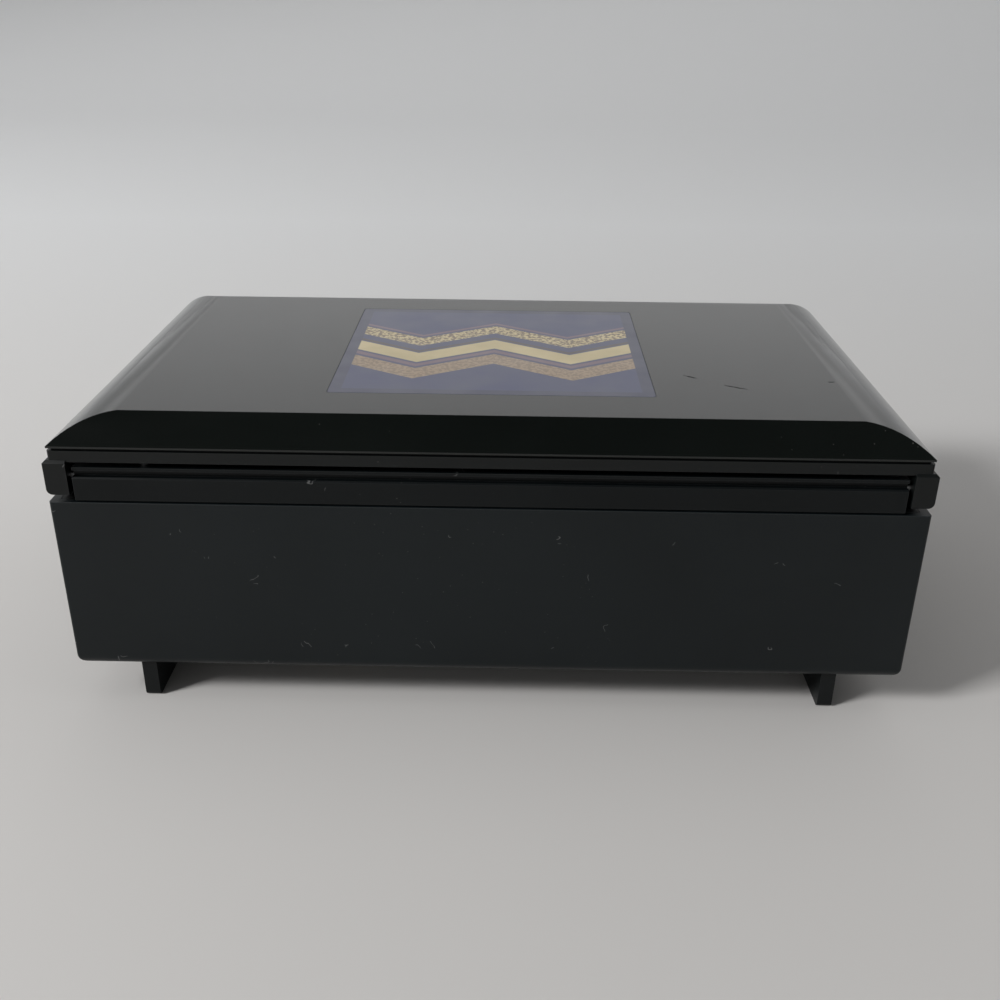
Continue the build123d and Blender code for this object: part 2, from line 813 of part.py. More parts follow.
def bedplate():
    """Bedplate with a slot for the drive gear, the comb heel, bearings and screw holes."""
    left = movement_x - bed_left
    plate = slab(bed_length / 2, bed_width / 2, bed_bottom, bed_top, bed_corner_radius)
    plate = Pos(left + bed_length / 2, movement_y, 0) * plate
    gear_x, inner_wall, _, _ = train_levels()
    slot_y = gear_radius(drive_teeth) + 2 * gear_module
    plate -= block(gear_x - bracket_gap, inner_wall - bed_slot_gap, movement_y - slot_y, movement_y + slot_y,
                   bed_bottom - wall, bed_top + wall)
    plate -= rod(key_axis()[0], key_axis()[1], bed_bottom - wall, arbor_radius + running_gap, 2 * wall)
    heel_x0 = movement_x + cylinder_left - comb_margin
    heel_x1 = movement_x + cylinder_right + comb_margin
    heel_y1 = comb_root_y()
    plate += block(heel_x0, heel_x1, heel_y1 - comb_base_depth, heel_y1, bed_top, comb_bottom())
    left_bearing = movement_x + cylinder_left - bracket_gap - bearing_thickness
    for x in (left_bearing, movement_x + cylinder_right + bracket_gap):
        plate += bearing(x)
    for x, y in movement_posts():
        plate -= rod(x, y, bed_bottom - wall, screw_radius + hole_gap, 2 * wall)
    for x in comb_screw_xs():
        plate -= rod(x, comb_screw_y(), comb_bottom() - bed_thickness, screw_radius + hole_gap, bed_thickness)
    return plate


def bearing(x):
    """Upright ear with a rounded top that carries the cylinder's shaft."""
    y = movement_y
    ear = block(x, x + bearing_thickness, y - bearing_width / 2, y + bearing_width / 2, bed_top, cylinder_z)
    ear += rod_x(x, y, cylinder_z, bearing_width / 2, bearing_thickness)
    return ear - rod_x(x - wall, y, cylinder_z, shaft_radius + running_gap, 3 * wall)


def comb_bottom():
    """Underside of the comb; its tips then point at the cylinder's axis."""
    return cylinder_z - comb_thickness / 2


def comb_tip_y():
    """Y of the comb's tips, just clear of the cylinder's pins."""
    return movement_y - cylinder_radius - note_pin_reach - comb_tip_gap


def comb_root_y():
    """Y where the comb's teeth join its base."""
    return comb_tip_y() - comb_tooth_length


def comb_screw_y():
    """Y of the comb's screws, on the middle of its base."""
    return comb_root_y() - comb_base_depth / 2


def comb_screw_xs():
    """X of the comb's screws."""
    middle = movement_x + (cylinder_left + cylinder_right) / 2
    return [middle - cylinder_length / 4, middle + cylinder_length / 4]


def comb():
    """Steel comb: base plate with tapering teeth, one for each note."""
    x0 = movement_x + cylinder_left - comb_margin
    x1 = movement_x + cylinder_right + comb_margin
    z0 = comb_bottom()
    root = comb_root_y()
    base = block(x0, x1, root - comb_base_depth, root, z0, z0 + comb_thickness)
    half_root = comb_tooth_width / 2
    half_tip = comb_tip_width / 2
    sink = comb_tooth_width
    for i in range(note_count):
        x = movement_x + cylinder_left + (i + 0.5) * note_pitch
        tooth = Polygon((x - half_root, root - sink), (x + half_root, root - sink),
                        (x + half_tip, comb_tip_y()), (x - half_tip, comb_tip_y()), align=None)
        base += extrude(Pos(0, 0, z0) * tooth, comb_thickness)
    for x in comb_screw_xs():
        base -= rod(x, comb_screw_y(), z0 - wall, screw_radius + hole_gap, 2 * wall)
    return base


def comb_screws():
    """Screws that clamp the comb on its heel."""
    length = comb_thickness + bed_thickness - hole_gap
    return [screw(x, comb_screw_y(), comb_bottom() + comb_thickness, length, 180) for x in comb_screw_xs()]


def movement_screws():
    """Screws through the bedplate's corners into the case posts."""
    length = bed_thickness + post_height
    return [screw(x, y, bed_top, length, 180) for x, y in movement_posts()]


def spring_housing():
    """Drum that holds the mainspring, bevelled above and bored for the arbor."""
    x, y = key_axis()
    drum = rod(x, y, bed_top, housing_radius, housing_height)
    drum = chamfer(drum.edges().group_by(Axis.Z)[-1], housing_bevel)
    inner_radius = housing_radius - housing_wall
    drum -= rod(x, y, bed_top + housing_wall, inner_radius, housing_height - 2 * housing_wall)
    return drum - rod(x, y, bed_top - wall, arbor_radius + running_gap, 2 * housing_height)


def mainspring():
    """Coiled spring as a ring inside the housing, clear of the arbor."""
    x, y = key_axis()
    z0 = bed_top + housing_wall + running_gap
    height = housing_height - 2 * housing_wall - 2 * running_gap
    outer = housing_radius - housing_wall - running_gap
    return rod(x, y, z0, outer, height) - rod(x, y, z0 - wall, spring_inner_radius, height + 2 * wall)


def crown_bottom_z():
    """Underside of the crown wheel's plate."""
    return cylinder_z + end_gear_tip() + crown_tooth_height - mesh_depth


def end_gear_tip():
    """Tip radius of the cylinder's end gear, from the crown wheel's tooth pitch."""
    middle = (crown_inner_radius + crown_outer_radius) / 2
    return middle * end_gear_teeth / crown_teeth + mesh_depth / 2


def winding_arbor():
    """Arbor from the key to the crown wheel, with a flange on the bedplate's underside."""
    x, y = key_axis()
    z0 = key_top() - wall
    arbor = rod(x, y, z0, arbor_radius, crown_bottom_z() + crown_plate - z0)
    return arbor + rod(x, y, bed_bottom - running_gap - arbor_flange, arbor_flange_radius, arbor_flange)


def crown_wheel():
    """Wheel with teeth on its underside that drives the cylinder's end gear."""
    x, y = key_axis()
    z0 = crown_bottom_z()
    wheel = rod(0, 0, z0, crown_outer_radius, crown_plate)
    tooth = block(crown_inner_radius, crown_outer_radius, -crown_tooth_width / 2, crown_tooth_width / 2,
                  z0 - crown_tooth_height, z0)
    for i in range(crown_teeth):
        wheel += Rot(0, 0, (i + 0.5) * 360 / crown_teeth) * tooth
    wheel -= rod(0, 0, z0 - wall, arbor_radius, 3 * wall)
    return Pos(x, y, 0) * wheel


def key_top():
    """Top of the key's neck, flush with the case floor's upper side."""
    return shell_bottom + floor_thickness


def winding_key():
    """Butterfly key: two rounded, pierced wings on a neck that rises through the floor."""
    x, y = key_axis()
    half = key_wing_span / 2
    middle_z = key_floor_gap + key_wing_height / 2
    wing = block(x - half, x + half, y - key_thickness / 2, y + key_thickness / 2,
                 key_floor_gap, key_floor_gap + key_wing_height)
    wing = fillet(wing.edges().filter_by(Axis.Y), key_wing_radius)
    wing += rod(x, y, middle_z, key_neck_radius, key_top() - middle_z)
    for side in (-1, 1):
        wing -= rod_y(x + side * key_wing_hole_place, y - wall, middle_z, key_wing_hole_radius, 2 * wall)
    return wing - rod(x, y, key_top() - wall, arbor_radius, wall)


def cylinder_body():
    """Pinned cylinder: a bored barrel whose rows of pins turn by a fixed step from note to note."""
    x0 = movement_x + cylinder_left
    y, z = movement_y, cylinder_z
    barrel = rod_x(x0, y, z, cylinder_radius, cylinder_length)
    barrel -= rod_x(x0 - wall, y, z, shaft_radius, cylinder_length + 2 * wall)
    half = note_pin_size / 2
    tip = cylinder_radius + note_pin_reach
    row_turn = 360 / pin_row_count
    for i in range(note_count):
        x = x0 + (i + 0.5) * note_pitch
        pin = block(x - half, x + half, cylinder_radius - note_pin_root, tip, -half, half)
        for k in range(pin_row_count):
            turn = i * note_turn + k * row_turn + note_scatter * math.sin(i + k)
            barrel += Pos(0, y, z) * Rot(turn, 0, 0) * pin
    return barrel


def cylinder_shaft():
    """Shaft from the end gear to the drive gear."""
    start = end_gear_x() - hole_gap
    gear_x = train_levels()[0]
    return rod_x(start, movement_y, cylinder_z, shaft_radius, gear_x + gear_face + hole_gap - start)


def end_gear_x():
    """Left face of the cylinder's end gear, under the crown wheel's teeth."""
    middle = (crown_inner_radius + crown_outer_radius) / 2
    return key_axis()[0] + middle - end_gear_width / 2


def end_gear():
    """Small gear on the cylinder's shaft that the crown wheel drives."""
    tip = end_gear_tip()
    gear = rod(0, 0, 0, tip - end_gear_tooth_height, end_gear_width)
    half = end_gear_tooth_width / 2
    tooth = block(tip - end_gear_tooth_height - half, tip, -half, half, 0, end_gear_width)
    tooth = chamfer(tooth.edges().filter_by(Axis.Z).group_by(Axis.X)[-1], end_gear_tooth_bevel)
    for i in range(end_gear_teeth):
        gear += Rot(0, 0, 360 * i / end_gear_teeth) * tooth
    gear -= rod(0, 0, -wall, shaft_radius, 3 * wall)
    return Pos(end_gear_x(), movement_y, cylinder_z) * Rot(0, 90, 0) * gear


def drive_gear():
    """Gear on the cylinder's right end that drives the governor pinion."""
    gear = spur(drive_teeth, gear_face) - rod(0, 0, -wall, shaft_radius, 3 * wall)
    facing = Rot(0, 90, 0) * Rot(0, 0, 90 + pinion_angle)
    return Pos(train_levels()[0], movement_y, cylinder_z) * facing * gear


def governor_pinion():
    """Shaft with the pinion at one end and the worm wheel in the middle."""
    gear_x, _, _, outer_wall = train_levels()
    y, z = pinion_place()
    half_pitch = 180 / pinion_teeth
    towards_drive_gear = 90 + pinion_angle + 180
    pinion = Rot(0, 90, 0) * Rot(0, 0, towards_drive_gear + half_pitch) * spur(pinion_teeth, gear_face)
    shaft = rod_x(0, 0, 0, governor_shaft_radius, outer_wall + bracket_wall - gear_x)
    return Pos(gear_x, y, z) * (pinion + shaft)


def worm_wheel():
    """Toothed wheel that turns the worm."""
    _, _, wheel_x, _ = train_levels()
    y, z = pinion_place()
    wheel = spur(worm_wheel_teeth, gear_face) - rod(0, 0, -wall, governor_shaft_radius, 3 * wall)
    return Pos(wheel_x, y, z) * Rot(0, 90, 0) * Rot(0, 0, 90) * wheel


def governor_bracket():
    """Two walls on a foot carry the governor shaft; two arms carry the fly."""
    _, inner_wall, _, outer_wall = train_levels()
    fly_x, fly_y = fly_place()
    y, z = pinion_place()
    y0 = y - bracket_reach
    y1 = fly_y + worm_outer_radius + bracket_gap
    top = fly_top_arm()
    bracket = block(inner_wall, outer_wall + bracket_wall, y0, y1, bed_top, bed_top + bracket_wall)
    for x in (inner_wall, outer_wall):
        bracket += block(x, x + bracket_wall, y0, y1, bed_top, top + bracket_wall)
    for z0 in (fly_low_arm(), top):
        arm_y = fly_y - worm_outer_radius
        bracket += block(inner_wall, outer_wall + bracket_wall, arm_y, y1, z0, z0 + bracket_wall)
    across = outer_wall - inner_wall + 3 * wall
    bracket -= rod_x(inner_wall - wall, y, z, governor_shaft_radius + running_gap, across)
    upright = top - fly_low_arm() + 3 * wall
    return bracket - rod(fly_x, fly_y, fly_low_arm() - wall, fly_shaft_radius + running_gap, upright)


def fly_top_arm():
    """Underside of the fly's upper arm."""
    return pinion_place()[1] + gear_radius(worm_wheel_teeth) + gear_module + top_arm_gap


def fly_low_arm():
    """Underside of the fly's lower arm."""
    return pinion_place()[1] - gear_radius(worm_wheel_teeth) - gear_module - bracket_gap - bracket_wall


def fly_shaft():
    """Upright shaft with a worm thread at the wheel's height."""
    x, y = fly_place()
    z = pinion_place()[1]
    pitch = math.pi * gear_module
    length = worm_turns * pitch
    start = z - length / 2
    bottom = fly_low_arm()
    top = fly_top_arm() + bracket_wall + fly_rise
    shaft = rod(0, 0, bottom, fly_shaft_radius, top - bottom)
    shaft += rod(0, 0, start - worm_core_radius, worm_core_radius, length + 2 * worm_core_radius)
    return Pos(x, y, 0) * (shaft + Rot(0, 0, 90 - 180 * worm_turns) * worm_thread(start, length, pitch))


def worm_thread(start, length, pitch):
    """Helical thread whose gap faces the worm wheel's middle tooth."""
    path = Helix(pitch, length, worm_core_radius, center=(0, 0, start))
    root = worm_root_width / 2
    tip = worm_tip_width / 2
    sink = worm_core_radius / 4
    rise = worm_outer_radius - worm_core_radius
    section = Plane(origin=path @ 0, x_dir=(1, 0, 0), z_dir=(0, 1, 0))
    sketch = section * Polygon((-sink, -root), (rise, -tip), (rise, tip), (-sink, root), align=None)
    return sweep(sketch, path=path, is_frenet=True)


def air_brake():
    """Two thin blades on a collar at the top of the fly shaft."""
    x, y = fly_place()
    z0 = fly_top_arm() + bracket_wall + bracket_gap
    blades = block(-blade_span, blade_span, -blade_thickness / 2, blade_thickness / 2, z0 + bracket_gap / 2,
                   z0 + bracket_gap / 2 + blade_height)
    collar = rod(0, 0, z0, 2 * fly_shaft_radius, blade_height + bracket_gap)
    return Pos(x, y, 0) * (collar + blades - rod(0, 0, z0 - wall, fly_shaft_radius, 4 * wall + blade_height))


def stop_plunger():
    """Rod in the rear rail that the lid holds down, with a wire that reaches to the fly."""
    x, y = plunger_place()
    top = lid_bottom - plunger_tip_gap
    wire_z = fly_top_arm() + bracket_wall + bracket_gap + blade_height / 2
    low = wire_z - stop_wire
    body = rod(x, y, low, plunger_radius, top - low)
    body = chamfer(body.edges().group_by(Axis.Z)[-1], plunger_tip_bevel)
    wire_end = fly_place()[1] + blade_span + stop_wire_gap
    wire = rod_y(x, wire_end, wire_z, stop_wire / 2, y - wire_end)
    return body + wire


nodes = {
    "lower_case": lower_case,
    "left_foot": lambda: foot(foot_centres()["left_foot"]),
    "right_foot": lambda: foot(foot_centres()["right_foot"]),
    "foot_screws": foot_screws,
    "upper_frame": upper_frame,
    "hinge_pins": hinge_pins,
    "jewel_tray": jewel_tray,
    "movement_window": movement_window,
    "ring_rolls": ring_rolls,
    "drawer_runners": drawer_runners,
    "drawer_box": drawer_box,
    "drawer_front": drawer_front,
    "drawer_lining": drawer_lining,
    "drawer_dividers": drawer_dividers,
    "drawer_knob": drawer_knob,
    "drawer_screws": drawer_screws,
    "lid_cover": lid_cover,
    "lid_frame": lid_frame,
    "picture_inlay": picture_inlay,
    "lid_liner": lid_liner,
    "mirror": mirror,
    "mirror_bezel": mirror_bezel,
    "lid_screws": lid_screws,
    "lid_bumpers": lid_bumpers,
    "bedplate": bedplate,
    "movement_screws": movement_screws,
    "comb": comb,
    "comb_screws": comb_screws,
    "spring_housing": spring_housing,
    "mainspring": mainspring,
    "winding_arbor": winding_arbor,
    "crown_wheel": crown_wheel,
    "winding_key": winding_key,
    "pinned_cylinder": cylinder_body,
    "cylinder_shaft": cylinder_shaft,
    "end_gear": end_gear,
    "drive_gear": drive_gear,
    "governor_pinion": governor_pinion,
    "worm_wheel": worm_wheel,
    "governor_bracket": governor_bracket,
    "fly_shaft": fly_shaft,
    "air_brake": air_brake,
    "stop_plunger": stop_plunger,
}

os.makedirs("parts", exist_ok=True)
to_origin = Pos(0, knob_reach / 2, 0)
for name, make in nodes.items():
    made = make()
    solids = made if isinstance(made, list) else [made]
    moved = [to_origin * piece for piece in solids]
    shape = moved[0] if len(moved) == 1 else Compound(children=moved)
    export_step(shape, f"parts/{name}.step")
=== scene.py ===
import logging
import math
from dataclasses import dataclass, field
from enum import Enum

import bmesh
import bpy
import numpy as np
from mathutils import Matrix, Vector


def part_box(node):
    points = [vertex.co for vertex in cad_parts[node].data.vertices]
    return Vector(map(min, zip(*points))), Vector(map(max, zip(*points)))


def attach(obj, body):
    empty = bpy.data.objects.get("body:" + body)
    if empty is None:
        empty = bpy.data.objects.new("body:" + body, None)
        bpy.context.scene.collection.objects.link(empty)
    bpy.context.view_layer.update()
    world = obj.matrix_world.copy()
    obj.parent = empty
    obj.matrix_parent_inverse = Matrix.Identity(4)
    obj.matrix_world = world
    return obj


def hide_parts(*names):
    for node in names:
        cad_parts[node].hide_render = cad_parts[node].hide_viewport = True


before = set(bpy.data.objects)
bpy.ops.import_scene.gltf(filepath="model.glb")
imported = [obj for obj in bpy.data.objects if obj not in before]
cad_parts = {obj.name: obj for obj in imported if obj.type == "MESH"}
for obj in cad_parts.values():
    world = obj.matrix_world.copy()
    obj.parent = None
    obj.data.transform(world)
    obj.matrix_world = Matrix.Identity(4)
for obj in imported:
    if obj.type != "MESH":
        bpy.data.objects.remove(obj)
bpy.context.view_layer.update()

logging.basicConfig(level=logging.INFO, format="%(name)s: %(message)s")
log = logging.getLogger("jewellery_box")

Colour = tuple[float, float, float]
Triple = tuple[float, float, float]
Pair = tuple[float, float]
Socket = bpy.types.NodeSocket

# Middle's X and Y, length and turn of a scuff, in metres and radians.
Scuff = tuple[float, float, float, float]

# Places of the colour sockets on a mix node.
MIX_FACTOR, MIX_FIRST, MIX_SECOND, MIX_RESULT = 0, 6, 7, 2
# Samples and full dot value of the convex-edge mask that paints lighter edges: partly wear, partly painted
# highlight.
EDGE_MASK_SAMPLES = 4
EDGE_MASK_FULL_DOT = 0.8

MERGE_DISTANCE = 0.000002
CREASE_ANGLE = math.radians(40)
TINY = 1e-9


class Body(Enum):
    """Moving groups that pieces ride on."""

    CASE = "case"
    LID = "lid"
    DRAWER = "drawer"


class Texture(Enum):
    """Procedural patterns that a finish may read."""

    NOISE = "ShaderNodeTexNoise"
    VORONOI = "ShaderNodeTexVoronoi"


def linked(name: str, data: bpy.types.ID) -> bpy.types.Object:
    """New object of that mesh, light or camera, linked to the scene.

    Args:
        name: the object's name.
        data: its mesh, light or camera.

    Returns:
        The object.
    """
    made = bpy.data.objects.new(name, data)
    bpy.context.scene.collection.objects.link(made)
    return made


def toned(colour: Colour, factor: float, lift: float = 0.0) -> Colour:
    """The colour times a factor plus a lift, held at 1."""
    return tuple(min(1.0, part * factor + lift) for part in colour)


class Graph:
    """Short way to write a material's node tree."""

    def __init__(self, name: str) -> None:
        """Starts an empty material with one shader and its output."""
        self.material = bpy.data.materials.new(name)
        self.material.use_nodes = True
        self.tree = self.material.node_tree
        self.tree.nodes.clear()
        self.output = self.tree.nodes.new("ShaderNodeOutputMaterial")
        self.shader = self.tree.nodes.new("ShaderNodeBsdfPrincipled")
        self.join(self.shader.outputs["BSDF"], self.output.inputs["Surface"])
        self.place = self.tree.nodes.new("ShaderNodeTexCoord").outputs["Object"]

    def join(self, source: Socket, target: Socket) -> None:
        """Links one socket to another."""
        self.tree.links.new(source, target)

    def feed(self, value: "Socket | float | Colour | tuple", target: Socket) -> None:
        """Links a socket, or sets a constant on the target.

        Args:
            value: socket to link, or number, colour or vector to set.
            target: input that takes it.
        """
        if isinstance(value, bpy.types.NodeSocket):
            self.join(value, target)
        elif isinstance(value, tuple) and len(value) == 3 and target.type == "RGBA":
            target.default_value = (*value, 1.0)
        else:
            target.default_value = value

    def scaled(self, scale: Triple, turn: Triple = (0, 0, 0), move: Triple = (0, 0, 0)) -> Socket:
        """Object coordinates after a stretch, turn and move.

        Args:
            scale: factor along each axis.
            turn: turn about each axis in radians.
            move: shift in metres.

        Returns:
            The mapped vector socket.
        """
        node = self.tree.nodes.new("ShaderNodeMapping")
        self.join(self.place, node.inputs["Vector"])
        node.inputs["Scale"].default_value = scale
        node.inputs["Rotation"].default_value = turn
        node.inputs["Location"].default_value = move
        return node.outputs["Vector"]

    def texture(self, kind: Texture, scale: float, vector: "Socket | None" = None,
                **sockets: float) -> Socket:
        """Pattern value at that scale, in repeats per metre.

        Args:
            kind: the pattern.
            scale: repeats per metre.
            vector: mapped coordinates, or None for the object's own.
            sockets: further inputs by lower-case name.

        Returns:
            The pattern's grey value.
        """
        node = self.tree.nodes.new(kind.value)
        self.join(vector if vector else self.place, node.inputs["Vector"])
        node.inputs["Scale"].default_value = scale
        for name, value in sockets.items():
            node.inputs[name.replace("_", " ").title()].default_value = value
        return node.outputs[0]

    def band(self, value: Socket, low: float, high: float,
             out_low: float = 0.0, out_high: float = 1.0) -> Socket:
        """Maps low..high to out_low..out_high and holds the ends.

        Args:
            value: grey input.
            low: input where the output starts.
            high: input where the output ends.
            out_low: first output.
            out_high: last output.

        Returns:
            The mapped grey value.
        """
        node = self.tree.nodes.new("ShaderNodeMapRange")
        self.join(value, node.inputs["Value"])
        node.inputs["From Min"].default_value = low
        node.inputs["From Max"].default_value = high
        node.inputs["To Min"].default_value = out_low
        node.inputs["To Max"].default_value = out_high
        return node.outputs["Result"]

    def math(self, operation: str, first: "Socket | float", second: "Socket | float" = 0.0) -> Socket:
        """Arithmetic on two grey values.

        Args:
            operation: the node's operation.
            first: first value.
            second: second value, which some operations ignore.

        Returns:
            The result.
        """
        node = self.tree.nodes.new("ShaderNodeMath")
        node.operation = operation
        self.feed(first, node.inputs[0])
        self.feed(second, node.inputs[1])
        return node.outputs[0]

    def split(self, vector: "Socket | None" = None) -> tuple[Socket, Socket, Socket]:
        """Splits a vector.

        Args:
            vector: the vector, or None for the object coordinates.

        Returns:
            Its X, Y and Z.
        """
        node = self.tree.nodes.new("ShaderNodeSeparateXYZ")
        self.join(vector if vector else self.place, node.inputs[0])
        return node.outputs[0], node.outputs[1], node.outputs[2]

    def mix(self, factor: Socket, first: "Socket | Colour", second: "Socket | Colour") -> Socket:
        """Blends two colours.

        Args:
            factor: 0 for the first colour, 1 for the second.
            first: first colour.
            second: second colour.

        Returns:
            The colour between them.
        """
        node = self.tree.nodes.new("ShaderNodeMix")
        node.data_type = "RGBA"
        self.join(factor, node.inputs[MIX_FACTOR])
        self.feed(first, node.inputs[MIX_FIRST])
        self.feed(second, node.inputs[MIX_SECOND])
        return node.outputs[MIX_RESULT]

    def relief(self, height: Socket, distance: float) -> None:
        """Tilts the shader's normal by a height pattern.

        Args:
            height: the pattern.
            distance: its depth in metres.
        """
        node = self.tree.nodes.new("ShaderNodeBump")
        self.join(height, node.inputs["Height"])
        node.inputs["Distance"].default_value = distance
        self.join(node.outputs["Normal"], self.shader.inputs["Normal"])

    def set(self, **values: "Socket | float | Colour") -> None:
        """Sets or links shader inputs.

        Args:
            values: constants or sockets by the input's lower-case name.
        """
        for name, value in values.items():
            title = name.replace("_", " ").title().replace("Ior", "IOR")
            self.feed(value, self.shader.inputs[title])

    def convex_edge_mask(self, reach: float) -> Socket:
        """Grey value that rises towards convex edges.

        It is 0 where the rounded normal is the true one, and 1 where their dot product has dropped to the
        set value.

        Args:
            reach: distance from the edge in metres.

        Returns:
            The grey value.
        """
        node = self.tree.nodes.new("ShaderNodeBevel")
        node.samples = EDGE_MASK_SAMPLES
        node.inputs["Radius"].default_value = reach
        shape = self.tree.nodes.new("ShaderNodeNewGeometry")
        dot = self.tree.nodes.new("ShaderNodeVectorMath")
        dot.operation = "DOT_PRODUCT"
        self.join(node.outputs["Normal"], dot.inputs[0])
        self.join(shape.outputs["Normal"], dot.inputs[1])
        return self.band(dot.outputs["Value"], 1.0, EDGE_MASK_FULL_DOT)


@dataclass(frozen=True)
class PlasticFinish:
    """Moulded plastic: faint flow variation, fine spark texture, handling marks, lighter edges that are
    partly wear and partly painted highlight, dust and lint.

    Scales are repeats per metre, depths and reaches are metres, a band is where a pattern starts and ends to
    show, and a tone is a factor on the colour and a lift.
    """

    name: str
    colour: Colour
    roughness: float = 0.2
    grain: float = 0.000004
    grain_scale: float = 1800.0
    dust: float = 0.5
    # How strongly the edges are painted lighter: partly wear, partly painted highlight.
    edge: float = 0.25
    lint: float = 0.24
    gloss: float = 0.5
    scuffs: tuple[Scuff, ...] = ()
    refraction: float = 1.5
    flow_scale: float = 14.0
    flow_band: Pair = (0.35, 0.7)
    flow_tone: Pair = (1.35, 0.002)
    smear_scale: float = 60.0
    smear_stretch: Triple = (1.0, 2.4, 5.0)
    smear_band: Pair = (0.35, 0.75)
    smear_range: Pair = (0.93, 1.12)
    speck_scale: float = 420.0
    speck_band: Pair = (0.075, 0.03)
    dusty_band: Pair = (0.52, 0.62)
    dust_colour: Colour = (0.34, 0.33, 0.31)
    edge_mask_reach: float = 0.0004
    worn_and_highlight_tone: Pair = (2.5, 0.03)
    curl_scale: float = 300.0
    hair_band: Pair = (0.016, 0.006)
    spot_scale: float = 150.0
    spot_shift: Triple = (0.31, 0.17, 0.23)
    spot_band: Pair = (0.785, 0.80)
    lint_colour: Colour = (0.42, 0.42, 0.42)
    rag_scale: float = 700.0
    rag_depth: float = 0.0012
    scuff_band: Pair = (0.0010, 0.0007)
    scuff_roughness: float = 0.7

    def hairs(self, graph: Graph) -> Socket:
        """Short curled lint hairs: thin contour lines of one pattern, kept only where a second one peaks.

        Args:
            graph: the material's nodes.

        Returns:
            Grey value that is high on the hairs.
        """
        curl = graph.texture(Texture.NOISE, self.curl_scale, detail=1.0)
        from_contour = graph.math("ABSOLUTE", graph.math("SUBTRACT", curl, 0.5))
        shifted = graph.scaled((1, 1, 1), move=self.spot_shift)
        spots = graph.texture(Texture.NOISE, self.spot_scale, shifted, detail=0.0)
        line = graph.band(from_contour, *self.hair_band)
        return graph.math("MULTIPLY", line, graph.band(spots, *self.spot_band, 0.0, self.lint))

    def scuffed(self, graph: Graph) -> Socket:
        """Short straight rubs with ragged sides.

        A rub is where the turned coordinates lie within half its length, fading in from there, and within a
        width that a fine pattern breaks up.

        Args:
            graph: the material's nodes.

        Returns:
            Grey value that is high along the rubs.
        """
        total: "Socket | float" = 0.0
        ragged = graph.texture(Texture.NOISE, self.rag_scale, detail=2.0)
        ragged = graph.math("MULTIPLY", ragged, self.rag_depth)
        for x, y, length, turn in self.scuffs:
            move = (-x * math.cos(turn) - y * math.sin(turn), x * math.sin(turn) - y * math.cos(turn), 0.0)
            along, across, _ = graph.split(graph.scaled((1, 1, 1), (0, 0, -turn), move))
            near = graph.band(graph.math("ABSOLUTE", along), length / 2, length / 5)
            width = graph.math("ADD", graph.math("ABSOLUTE", across), ragged)
            rub = graph.math("MULTIPLY", near, graph.band(width, *self.scuff_band))
            total = graph.math("MAXIMUM", total, rub)
        return total

    def make(self) -> bpy.types.Material:
        """Builds the material.

        Returns:
            The finished material.
        """
        graph = Graph(self.name)
        flow = graph.texture(Texture.NOISE, self.flow_scale, detail=3.0)
        smear = graph.texture(Texture.NOISE, self.smear_scale, graph.scaled(self.smear_stretch), detail=5.0)
        fine = graph.texture(Texture.NOISE, self.grain_scale, detail=2.0)
        specks = graph.band(graph.texture(Texture.VORONOI, self.speck_scale), *self.speck_band)
        dust = graph.math("MULTIPLY", specks, graph.band(flow, *self.dusty_band, 0.0, self.dust))
        # Lighter convex edges: partly real wear, partly a painted highlight along the edges.
        worn_and_highlight = graph.math("MULTIPLY", graph.convex_edge_mask(self.edge_mask_reach), self.edge)
        base = graph.mix(graph.band(flow, *self.flow_band), self.colour, toned(self.colour, *self.flow_tone))
        base = graph.mix(worn_and_highlight, base, toned(self.colour, *self.worn_and_highlight_tone))
        base = graph.mix(dust, base, self.dust_colour)
        if self.lint:
            base = graph.mix(self.hairs(graph), base, self.lint_colour)
        rough = graph.band(smear, *self.smear_band, *(self.roughness * part for part in self.smear_range))
        if self.scuffs:
            rub = graph.math("MULTIPLY", self.scuffed(graph), self.scuff_roughness)
            rough = graph.math("ADD", rough, rub)
        graph.set(base_color=base, roughness=rough, ior=self.refraction, specular_ior_level=self.gloss)
        graph.relief(fine, self.grain)
        return graph.material


@dataclass(frozen=True)
class MetalFinish:
    """Metal part: drawn or turned lines, in repeats per metre along each axis, and cloudy tarnish."""

    name: str
    colour: Colour
    roughness: float = 0.28
    lines: Triple = (200.0, 2000.0, 2000.0)
    tarnish: float = 0.35
    line_depth: float = 0.00001
    cloud_scale: float = 180.0
    tarnish_band: Pair = (0.45, 0.8)
    tarnish_tone: float = 0.55
    rough_band: Pair = (0.3, 0.8)
    rough_range: Pair = (0.8, 1.5)

    def make(self) -> bpy.types.Material:
        """Builds the material.

        Returns:
            The finished material.
        """
        graph = Graph(self.name)
        lines = graph.texture(Texture.NOISE, 1.0, graph.scaled(self.lines), detail=3.0)
        cloud = graph.texture(Texture.NOISE, self.cloud_scale, detail=5.0)
        tarnish = graph.band(cloud, *self.tarnish_band, 0.0, self.tarnish)
        base = graph.mix(tarnish, self.colour, toned(self.colour, self.tarnish_tone))
        rough = graph.band(cloud, *self.rough_band, *(self.roughness * part for part in self.rough_range))
        graph.set(base_color=base, roughness=rough, metallic=1.0)
        graph.relief(lines, self.line_depth)
        return graph.material


